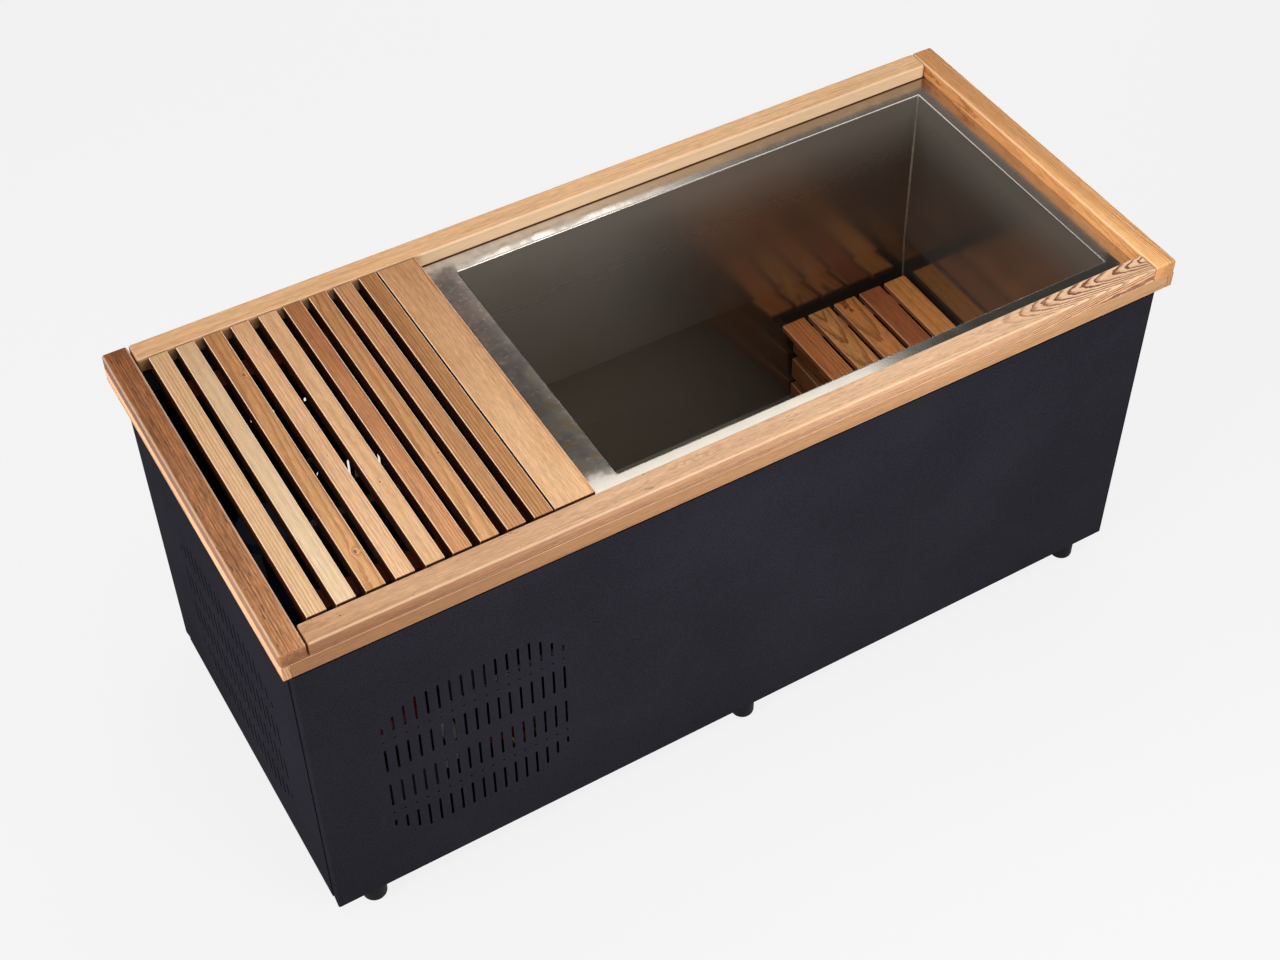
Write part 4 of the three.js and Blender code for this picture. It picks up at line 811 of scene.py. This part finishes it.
def board_mesh(low: Vector, high: Vector, ease: float, under: float, segments: int = 4) -> bmesh.types.BMesh:
    """Model a board with its edges eased.

    Args:
        low: Its lowest corner.
        high: Its highest corner.
        ease: The radius of its upper and upright edges.
        under: The radius of its lower edges.
        segments: How many facets round an edge.

    Returns:
        The board.
    """
    mesh = bmesh.new()
    bmesh.ops.create_cube(mesh, size=1.0)
    bmesh.ops.scale(mesh, vec=high - low, verts=mesh.verts)
    bmesh.ops.translate(mesh, vec=(low + high) / 2, verts=mesh.verts)
    middle = (low.z + high.z) / 2
    upper = [edge for edge in mesh.edges if any(vert.co.z > middle for vert in edge.verts)]
    common = {"offset_type": "OFFSET", "affect": "EDGES", "profile": 0.5, "material": -1, "clamp_overlap": True}
    bmesh.ops.bevel(mesh, geom=upper, offset=ease, segments=segments, **common)
    lower = [edge for edge in mesh.edges if all(vert.co.z < low.z + 1e-6 for vert in edge.verts)]
    bmesh.ops.bevel(mesh, geom=lower, offset=under, segments=2, **common)
    flatten(mesh, 4 * ease ** 2)
    return mesh


def turned_mesh(profile: Sequence[tuple[float, float]], at: Vector, steps: int = 40) -> bmesh.types.BMesh:
    """Model a turned piece about an upright axis.

    Args:
        profile: Radius and height of each point, from the axis to the axis.
        at: The foot of the axis.
        steps: How many facets round it.

    Returns:
        The piece.
    """
    mesh = bmesh.new()
    points = [mesh.verts.new((radius, 0.0, height)) for radius, height in profile]
    edges = [mesh.edges.new(pair) for pair in zip(points, points[1:])]
    bmesh.ops.spin(
        mesh, geom=[*points, *edges], cent=(0, 0, 0), axis=(0, 0, 1), angle=2 * math.pi, steps=steps,
        use_merge=True,
    )
    bmesh.ops.remove_doubles(mesh, verts=mesh.verts, dist=1e-6)
    bmesh.ops.recalc_face_normals(mesh, faces=mesh.faces)
    bmesh.ops.translate(mesh, vec=at, verts=mesh.verts)
    return mesh


@dataclass
class Joinery:
    """Cedar boards that follow their CAD nodes, each with its own figure."""

    shop: Workshop
    body: Body
    slot: str
    ease: float
    boards: dict[str, Cedar]
    # sides is painted shade on the boards' sides and ends; arris is a painted highlight on eased edges, partly
    # fresh wood.
    sides: float = 0.0
    arris: float = 0.35
    under: float = 0.0008

    def build(self) -> None:
        """Model and dress every board."""
        for name, board in self.boards.items():
            low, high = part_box(name)
            material = self.shop.cedar(f"cedar_{name}", board, low, high, self.sides, self.arris)
            mesh = board_mesh(low, high, self.ease, self.under)
            self.shop.piece(f"{name}_board", mesh, [material], self.body, self.slot, [name])


RAIL_BOARDS = {
    "left_rail": Cedar(
        "b37c50", "6d3f24", "7f4d2e", Cut.RIFT, (0.0, 1.00), 0.6, 0.6, 0.6,
        knots=(
            Knot(-0.970, -0.146, 0.0016), Knot(-0.968, -0.155, 0.0016), Knot(-0.977, -0.071, 0.0014),
            Knot(-0.961, -0.210, 0.0014), Knot(-0.966, -0.257, 0.0014),
        ),
    ),
    "right_rail": Cedar("f9be7e", "995628", "de9e62", Cut.SIDE, (0.0, 0.61), 0.22, 0.3, side_shade_along=(0.2, 0.2)),
    "front_rail": Cedar(
        "e4bd98", "713719", "ca9a6e", Cut.TURNING, (0.72, 0.0), 0.28, 0.35, 0.4, side_shade_along=(0.58, 0.0),
        grain=Grain.ALONG_X,
        knots=(
            Knot(-0.895, -0.376, 0.001), Knot(-0.849, -0.391, 0.0013), Knot(-0.514, -0.377, 0.001),
            Knot(-0.513, -0.412, 0.001), Knot(-0.257, -0.409, 0.001), Knot(-0.243, -0.375, 0.001),
        ),
    ),
    "back_rail": Cedar("dcb083", "ae7844", "c79563", Cut.FINE, (0.25, 0.0), 0.25, 0.3, side_light=0.55, tucked=-0.32, grain=Grain.ALONG_X),
}
FASCIA_BOARDS = {
    "left_fascia": Cedar("ebc191", "bc8451", "d7a371", Cut.STRAIGHT, fibre=0.25),
    "right_fascia": Cedar("d8a673", "a56c3d", "c28c5a", Cut.STRAIGHT, fibre=0.25),
    "front_fascia": Cedar("d2aa7e", "906331", "bb8e5e", Cut.FLAT, (0.5, 0.3), 0.25, side_shade_along=(0.6, 0.0), grain=Grain.ALONG_X),
    "back_fascia": Cedar("dcaa7a", "98642f", "c48e5a", Cut.FLAT, fibre=0.25, grain=Grain.ALONG_X),
}
SLAT_BOARDS = {
    "slat_1": Cedar("deb98f", "b68658", "cb9f71", Cut.STRAIGHT, (0.0, 0.46), 0.2, 0.2),
    "slat_2": Cedar("e1c6a2", "cba175", "d8b489", Cut.QUIET, (0.0, 0.68), 0.16, 0.25),
    "slat_3": Cedar(
        "cf9c68", "955d32", "b47845", Cut.FLAT, (0.0, 0.74), 0.26, 0.4,
        knots=(Knot(-0.762, 0.232, 0.0026), Knot(-0.767, -0.275, 0.003)),
    ),
    "slat_4": Cedar(
        "e1b68d", "c0885c", "d39e74", Cut.RIFT, (0.0, 0.59), 0.26, 0.4, knots=(Knot(-0.713, -0.041, 0.001),)
    ),
    "slat_5": Cedar(
        "d8ad83", "b98454", "cb9a67", Cut.QUIET, (0.0, 0.40), 0.22, 0.3, knots=(Knot(-0.659, -0.148, 0.002),)
    ),
    "slat_6": Cedar("cb9263", "915733", "a96c41", Cut.RIFT, (0.0, 0.97), 0.32, 0.5),
    "slat_7": Cedar(
        "ce9a68", "935f2e", "b4804e", Cut.FLAT, (0.0, 0.77), 0.28, 0.4, knots=(Knot(-0.537, -0.137, 0.002),)
    ),
    "slat_8": Cedar("bc885b", "8b5930", "a37144", Cut.STRAIGHT, (0.0, 0.19), 0.26, 0.4),
    "slat_9": Cedar("b6814f", "81532d", "9d6d3e", Cut.RIFT, (0.0, 0.55), 0.28, 0.45),
    "cover_plank": Cedar("dcb084", "b27c4d", "c69261", Cut.FINE, (0.0, 0.80), 0.3, 0.4, rubbed=(0.9, 0.2)),
}
# The battens are near black: painted shade under the slats.
BATTEN_BOARDS = {
    f"batten_{side}": Cedar("471d12", "3a160d", "401a10", grain=Grain.ALONG_X, specular=0.05) for side in ("front", "back")
}
SEAT_BOARDS = {
    "seat_slat_1": Cedar("be743e", "743513", "994f25", Cut.FLAT, fibre=0.36, stain_amount=0.5),
    "seat_slat_2": Cedar("cc8a4e", "7a431c", "a06431", Cut.FLAME, fibre=0.36, stain_amount=0.4),
    "seat_slat_3": Cedar("cb8247", "7a3e17", "a35d2b", Cut.FLAME, fibre=0.36, stain_amount=0.5),
    "seat_slat_4": Cedar("aa6138", "612c11", "854522", Cut.RIFT, fibre=0.36, stain_amount=0.4),
    "seat_slat_5": Cedar("d68e4d", "8a4c1e", "ae6b35", Cut.QUIET, fibre=0.3, stain_amount=0.3),
    "seat_side_slat_1": Cedar("a8713f", "6b3f1c", "8d5a33", Cut.SIDE, fibre=0.3),
    "seat_side_slat_2": Cedar("a8713f", "6b3f1c", "8d5a33", Cut.RIFT, fibre=0.3),
    "seat_side_slat_3": Cedar("a06a3c", "653a1a", "85522c", Cut.FLAT, fibre=0.3),
}


@dataclass
class SeatFrames:
    """The two glued-up frames under the seat: a pair of legs and the rail across them."""

    shop: Workshop
    leg: float = 0.038
    ease: float = 0.002

    def build(self) -> None:
        """Model and dress both frames."""
        for name in ("seat_frame_front", "seat_frame_back"):
            low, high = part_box(name)
            under = high.z - self.leg
            spans = (
                (low, Vector((low.x + self.leg, high.y, under)), Grain.ALONG_Z),
                (Vector((high.x - self.leg, low.y, low.z)), Vector((high.x, high.y, under)), Grain.ALONG_Z),
                (Vector((low.x, low.y, under)), high, Grain.ALONG_X),
            )
            for number, (start, end, grain) in enumerate(spans, 1):
                look = Cedar("9c6740", "5f371c", "7d4c2c", grain=grain)
                material = self.shop.cedar(f"cedar_{name}_{number}", look, start, end)
                mesh = board_mesh(start, end, self.ease, self.ease)
                label = f"{name}_{'rail' if number == 3 else f'leg_{number}'}"
                self.shop.piece(label, mesh, [material], Body.SEAT, "cedar_seat", [name])


@dataclass
class Basin:
    """The welded stainless basin: folded walls, a flange under the rails and beads at the corners."""

    shop: Workshop
    low: Vector = field(default_factory=lambda: Vector((-0.268, -0.323, 0.0747)))
    high: Vector = field(default_factory=lambda: Vector((0.874, 0.321, 0.8227)))
    flange: float = 0.067
    sheet: float = 0.002
    bend: float = 0.0035
    crease: float = 0.414
    crease_bow: float = 0.006
    floor_bow: float = 0.035
    bead: float = 0.0028

    def shell(self) -> bmesh.types.BMesh:
        """Model the sheet: a box without a lid, folded once across its back wall, and its flange.

        Returns:
            The sheet, facing into the basin. The flange's faces have the second material.
        """
        mesh = bmesh.new()
        bmesh.ops.create_cube(mesh, size=1.0)
        bmesh.ops.scale(mesh, vec=self.high - self.low, verts=mesh.verts)
        bmesh.ops.translate(mesh, vec=(self.low + self.high) / 2, verts=mesh.verts)
        lid = [face for face in mesh.faces if face.normal.z > 0.5]
        bmesh.ops.delete(mesh, geom=lid, context="FACES_ONLY")
        fold = self.high.z - self.crease
        everything = mesh.verts[:] + mesh.edges[:] + mesh.faces[:]
        bmesh.ops.bisect_plane(mesh, geom=everything, plane_co=(0, 0, fold), plane_no=(0, 0, 1))
        for vert in mesh.verts:
            if vert.co.y > self.high.y - 1e-4 and abs(vert.co.z - fold) < 1e-4:
                vert.co.y -= self.crease_bow
            elif vert.co.y > self.high.y - 1e-4 and vert.co.z < self.low.z + 1e-4:
                vert.co.y -= self.floor_bow
        rim = [edge for edge in mesh.edges if edge.is_boundary]
        grown = bmesh.ops.extrude_edge_only(mesh, edges=rim)["geom"]
        middle = (self.low + self.high) / 2
        for vert in (one for one in grown if isinstance(one, bmesh.types.BMVert)):
            vert.co.x += math.copysign(self.flange, vert.co.x - middle.x)
            vert.co.y += math.copysign(self.flange, vert.co.y - middle.y)
        bmesh.ops.bevel(
            mesh, geom=rim, offset=self.bend, offset_type="OFFSET", affect="EDGES", segments=6, profile=0.5,
            material=-1,
        )
        bmesh.ops.recalc_face_normals(mesh, faces=mesh.faces)
        floor = min(mesh.faces, key=lambda face: face.calc_center_median().z)
        if floor.normal.z < 0:
            bmesh.ops.reverse_faces(mesh, faces=mesh.faces)
        flatten(mesh, 0.01)
        for face in mesh.faces:
            if face.calc_center_median().z > self.high.z - self.bend:
                face.material_index = 1
        return mesh

    def beads(self) -> bmesh.types.BMesh:
        """Model the weld beads in the four upright corners.

        Returns:
            The beads, each a rippled rod.
        """
        mesh = bmesh.new()
        chance = Random(7)
        for x in (self.low.x, self.high.x):
            for y in (self.low.y, self.high.y):
                height = self.low.z
                ring = bmesh.ops.create_circle(mesh, cap_ends=False, segments=8, radius=self.bead)["verts"]
                bmesh.ops.translate(mesh, vec=(x, y, height), verts=ring)
                edges = list({edge for vert in ring for edge in vert.link_edges})
                while height < self.high.z - 2 * self.bend:
                    step = 0.006 + 0.002 * chance.random()
                    grown = bmesh.ops.extrude_edge_only(mesh, edges=edges)["geom"]
                    ring = [one for one in grown if isinstance(one, bmesh.types.BMVert)]
                    edges = [one for one in grown if isinstance(one, bmesh.types.BMEdge)]
                    edges = [one for one in edges if all(vert in ring for vert in one.verts)]
                    height += step
                    lean = self.lean_at(height) if y > 0 else 0.0
                    swell = 0.8 + 0.4 * chance.random()
                    centre = sum((vert.co for vert in ring), Vector()) / len(ring)
                    for vert in ring:
                        arm = (vert.co - centre).normalized() * self.bead * swell
                        vert.co = Vector((x, y - lean, height)) + arm
        bmesh.ops.holes_fill(mesh, edges=[edge for edge in mesh.edges if edge.is_boundary], sides=8)
        bmesh.ops.recalc_face_normals(mesh, faces=mesh.faces)
        return mesh

    def lean_at(self, height: float) -> float:
        """Return how far the back wall leans in at a height."""
        fold = self.high.z - self.crease
        if height > fold:
            return self.crease_bow * (self.high.z - height) / self.crease
        share = (height - self.low.z) / (fold - self.low.z)
        return self.floor_bow + (self.crease_bow - self.floor_bow) * share

    def build(self) -> None:
        """Model and dress the basin."""
        look = Steel(
            "9b948a", "8a7b69", (0.16, 0.21), 0.2, 3.0, wave=0.0002, brushed=0.3, film=True
        )
        wall = self.shop.steel("stainless_wall", look)
        rim = self.shop.flange("stainless_flange", Flange(), self.low, self.high)
        weld = self.shop.paint("stainless_bead", Paint("a89f92", "6f6456", 0.4, 0.5, 3.0))
        shell = self.shop.piece("basin_shell", self.shell(), [wall, rim], Body.CABINET, "stainless", ["basin"])
        thick = shell.modifiers.new("sheet", "SOLIDIFY")
        thick.thickness = self.sheet
        thick.offset = -1.0
        self.shop.piece("basin_beads", self.beads(), [weld], Body.CABINET, "stainless")
        self.shop.dress(["suction_fitting", "return_fitting"], weld)


@dataclass
class Feet:
    """The rubber feet."""

    shop: Workshop
    rounding: float = 0.006

    def build(self) -> None:
        """Model and dress every foot."""
        rubber = self.shop.paint("foot_rubber", Paint("070708", "0b0b0c", 0.7, peel_scale=400.0, peel=0.1, specular=0.15))
        for row in ("front", "back"):
            for column in ("left", "middle", "right"):
                name = f"foot_{row}_{column}"
                low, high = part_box(name)
                radius = (high.y - low.y) / 2
                height = high.z - low.z
                turns = [math.pi / 2 * step / 5 for step in range(6)]
                rounded = [
                    (radius - self.rounding * (1 - math.sin(turn)), self.rounding * (1 - math.cos(turn)))
                    for turn in turns
                ]
                top = [(radius, height - 0.002), (radius - 0.002, height), (0.0, height)]
                at = Vector(((low.x + high.x) / 2, (low.y + high.y) / 2, low.z))
                mesh = turned_mesh([(0.0, 0.0), *rounded, *top], at)
                self.shop.piece(f"{name}_pad", mesh, [rubber], Body.CABINET, "rubber", [name])


@dataclass
class Cabinet:
    """The coated sheet panels, the pan and the welded frame inside them."""

    shop: Workshop

    def build(self) -> None:
        """Dress the panels and the frame."""
        coat = Paint("1d1c22", "302f36", 0.6, 0.0, 3.0, 1400.0, 0.12, 0.0, 0.8)
        side = replace(coat, vent=Vent(1, (-0.84, -1.0, 0.15), (-0.42, 1.0, 0.61), (0.935, 0.788)))
        end = replace(coat, vent=Vent(0, (-1.0, -0.26, 0.14), (-0.9, 0.22, 0.58), (0.377, 0.788)))
        self.shop.dress(["front_panel", "back_panel"], self.shop.paint("charcoal_side_coat", side))
        self.shop.dress(["left_panel", "right_panel"], self.shop.paint("charcoal_end_coat", end))
        # The frame, pan and foam jacket are near black: painted shade for the dark machine bay.
        zinc = self.shop.paint("galvanised", Paint("0a0a0b", "0f0f10", 0.7, 0.0, 30.0, specular=0.05))
        rubber = self.shop.paint("gland_rubber", Paint("141416", "1d1d20", 0.7))
        foam = self.shop.paint("foam", Paint("121213", "1a1a1b", 0.9, peel_scale=200.0, peel=0.4))
        self.shop.dress(["base_pan", "chassis_frame"], zinc)
        self.shop.dress(["cable_gland"], rubber)
        self.shop.dress(["basin_jacket"], foam)


@dataclass
class Chiller:
    """The machinery behind the vents."""

    shop: Workshop

    def build(self) -> None:
        """Dress every machine part."""
        # The coil, heat exchanger, control box and return pipe are near black: painted shade for the dark machine
        # bay.
        looks = {
            ("compressor", "condenser_fan"): Paint("0f1011", "151618", 0.4),
            ("condenser_coil",): Paint("1a1b1c", "141516", 0.5, 0.5, 40.0),
            ("filter_canister",): Paint("0b2144", "091b38", 0.4),
            ("circulation_pump", "drain_lever"): Paint("a3201c", "8c1a17", 0.4),
            ("heat_exchanger", "control_box"): Paint("141515", "0f1010", 0.6),
            ("suction_pipe", "transfer_pipe"): Paint("c9c7c0", "bab7ae", 0.4),
            ("return_pipe",): Paint("2f2f30", "272728", 0.5),
            ("copper_line",): Paint("9a5a36", "874a29", 0.3, 1.0, 25.0),
            ("drain_valve",): Paint("a9873f", "927031", 0.35, 0.9, 25.0),
        }
        for nodes, look in looks.items():
            self.shop.dress(nodes, self.shop.paint(f"{nodes[0]}_finish", look))


@dataclass
class Studio:
    """Floor, lamps and camera."""

    floor_colour: str = "f6f6f6"
    position: tuple[float, float, float] = (-1.5183, -2.5746, 3.6246)
    azimuth: float = -31.611
    elevation: float = 45.615
    roll: float = 0.591
    lens: float = 58.43
    shift: tuple[float, float] = (-0.0318, -0.0563)

    def floor(self) -> None:
        """Lay a pale floor that shows the camera its own colour and keeps a soft shadow."""
        mesh = bmesh.new()
        bmesh.ops.create_circle(mesh, cap_ends=True, segments=96, radius=30.0)
        data = bpy.data.meshes.new("floor")
        mesh.to_mesh(data)
        mesh.free()
        material = bpy.data.materials.new("floor")
        material.use_nodes = True
        tree = Tree(material.node_tree)
        lit = tree.node("ShaderNodeBsdfDiffuse")
        lit.inputs["Color"].default_value = srgb("e4e4e4")
        plain = tree.node("ShaderNodeEmission")
        plain.inputs["Color"].default_value = srgb(self.floor_colour)
        path = tree.node("ShaderNodeLightPath")
        seen = tree.math("MAXIMUM", path.outputs["Is Camera Ray"], path.outputs["Is Glossy Ray"])
        seen = tree.math("MAXIMUM", seen, path.outputs["Is Transmission Ray"])
        blend = tree.node("ShaderNodeMixShader")
        tree.feed(blend.inputs[0], tree.math("MULTIPLY", seen, 0.9))
        tree.feed(blend.inputs[1], lit.outputs[0])
        tree.feed(blend.inputs[2], plain.outputs[0])
        out = tree.node("ShaderNodeOutputMaterial")
        tree.feed(out.inputs["Surface"], blend.outputs[0])
        data.materials.append(material)
        made = bpy.data.objects.new("floor", data)
        bpy.context.scene.collection.objects.link(made)

    @staticmethod
    def lamp(name: str, at: Sequence[float], aim: Sequence[float], size: Sequence[float], power: float) -> None:
        """Hang a softbox.

        Args:
            name: The lamp's name.
            at: Its place.
            aim: What it points at.
            size: Its width and height.
            power: Its power in watts.
        """
        data = bpy.data.lights.new(name, "AREA")
        data.shape = "RECTANGLE"
        data.size, data.size_y = size
        data.energy = power
        made = bpy.data.objects.new(name, data)
        made.location = at
        made.rotation_euler = (Vector(aim) - Vector(at)).to_track_quat("-Z", "Y").to_euler()
        made.visible_camera = False
        bpy.context.scene.collection.objects.link(made)

    def world(self) -> None:
        """Fill the room with a little even light, a pale backdrop, and a dark flag high on the right."""
        world = bpy.data.worlds.new("room")
        bpy.context.scene.world = world
        world.use_nodes = True
        tree = Tree(world.node_tree)
        glow = tree.node("ShaderNodeBackground")
        glow.inputs["Color"].default_value = srgb("f4f4f4")
        way = tree.node("ShaderNodeTexCoord").outputs["Generated"]
        near = tree.node("ShaderNodeVectorMath", operation="DOT_PRODUCT")
        tree.feed(near.inputs[0], way)
        tree.feed(near.inputs[1], (0.53, 0.5, 0.685))
        light = tree.remap(near.outputs["Value"], (0.994, 0.9985), (0.2, 0.05), True)
        path = tree.node("ShaderNodeLightPath")
        mirrored = tree.math("MAXIMUM", path.outputs["Is Glossy Ray"], path.outputs["Is Transmission Ray"])
        mirrored = tree.math("MULTIPLY", mirrored, tree.remap(tree.split(way)[2], (0.03, 0.1), (1.0, 0.0)))
        seen = tree.math("MAXIMUM", path.outputs["Is Camera Ray"], mirrored)
        tree.feed(glow.inputs["Strength"], tree.math("MAXIMUM", light, seen))
        out = tree.node("ShaderNodeOutputWorld")
        tree.feed(out.inputs["Surface"], glow.outputs[0])

    def camera(self) -> None:
        """Set up the camera at the photograph's angle."""
        data = bpy.data.cameras.new("camera")
        data.sensor_width = 36.0
        data.lens = self.lens
        data.shift_x, data.shift_y = self.shift
        data.clip_end = 100.0
        made = bpy.data.objects.new("camera", data)
        turn = math.radians(self.azimuth)
        tip = math.radians(90 - self.elevation)
        spin = math.radians(self.roll)
        facing = Matrix.Rotation(turn, 4, "Z") @ Matrix.Rotation(tip, 4, "X") @ Matrix.Rotation(spin, 4, "Z")
        made.matrix_world = Matrix.Translation(self.position) @ facing
        bpy.context.scene.collection.objects.link(made)
        bpy.context.scene.camera = made

    def build(self) -> None:
        """Set up the whole studio."""
        bpy.context.scene.view_settings.view_transform = "Standard"
        self.camera()
        self.floor()
        self.world()
        self.lamp("overhead", (-0.185, 0.21, 3.2), (-0.185, 0.21, 0.0), (4.09, 2.8), 58.0)
        self.lamp("front_fill", (0.35, -2.6, 1.6), (0.2, 0.0, 0.45), (2.0, 1.2), 52.0)
        self.lamp("left_fill", (-5.5, -0.5, 2.2), (0.0, 0.0, 0.5), (3.5, 3.0), 230.0)
        self.lamp("rear_fill", (4.0, 4.6, 0.8), (0.2, 0.0, 0.45), (4.5, 1.3), 200.0)
        self.lamp("back_strip", (1.35, 3.3, 3.55), (0.0, 0.33, 0.82), (1.0, 0.9), 7.0)


def main() -> None:
    """Build the sub-assemblies in order and note the size of the result."""
    logging.basicConfig(level=logging.INFO, format="%(message)s")
    Studio().build()
    shop = Workshop(Effects())
    Joinery(shop, Body.CABINET, "cedar_rail", 0.005, RAIL_BOARDS).build()
    Joinery(shop, Body.CABINET, "cedar_fascia", 0.0015, FASCIA_BOARDS).build()
    # The slats get painted shade on their sides and ends and a painted highlight on their eased edges.
    Joinery(shop, Body.COVER, "cedar_slat", 0.002, SLAT_BOARDS, 0.95, 0.85).build()
    Joinery(shop, Body.COVER, "cedar_fascia", 0.002, BATTEN_BOARDS, arris=0.0).build()
    Joinery(shop, Body.SEAT, "cedar_seat", 0.003, SEAT_BOARDS).build()
    SeatFrames(shop).build()
    Basin(shop).build()
    Feet(shop).build()
    Cabinet(shop).build()
    Chiller(shop).build()


if __name__ == "__main__":
    main()
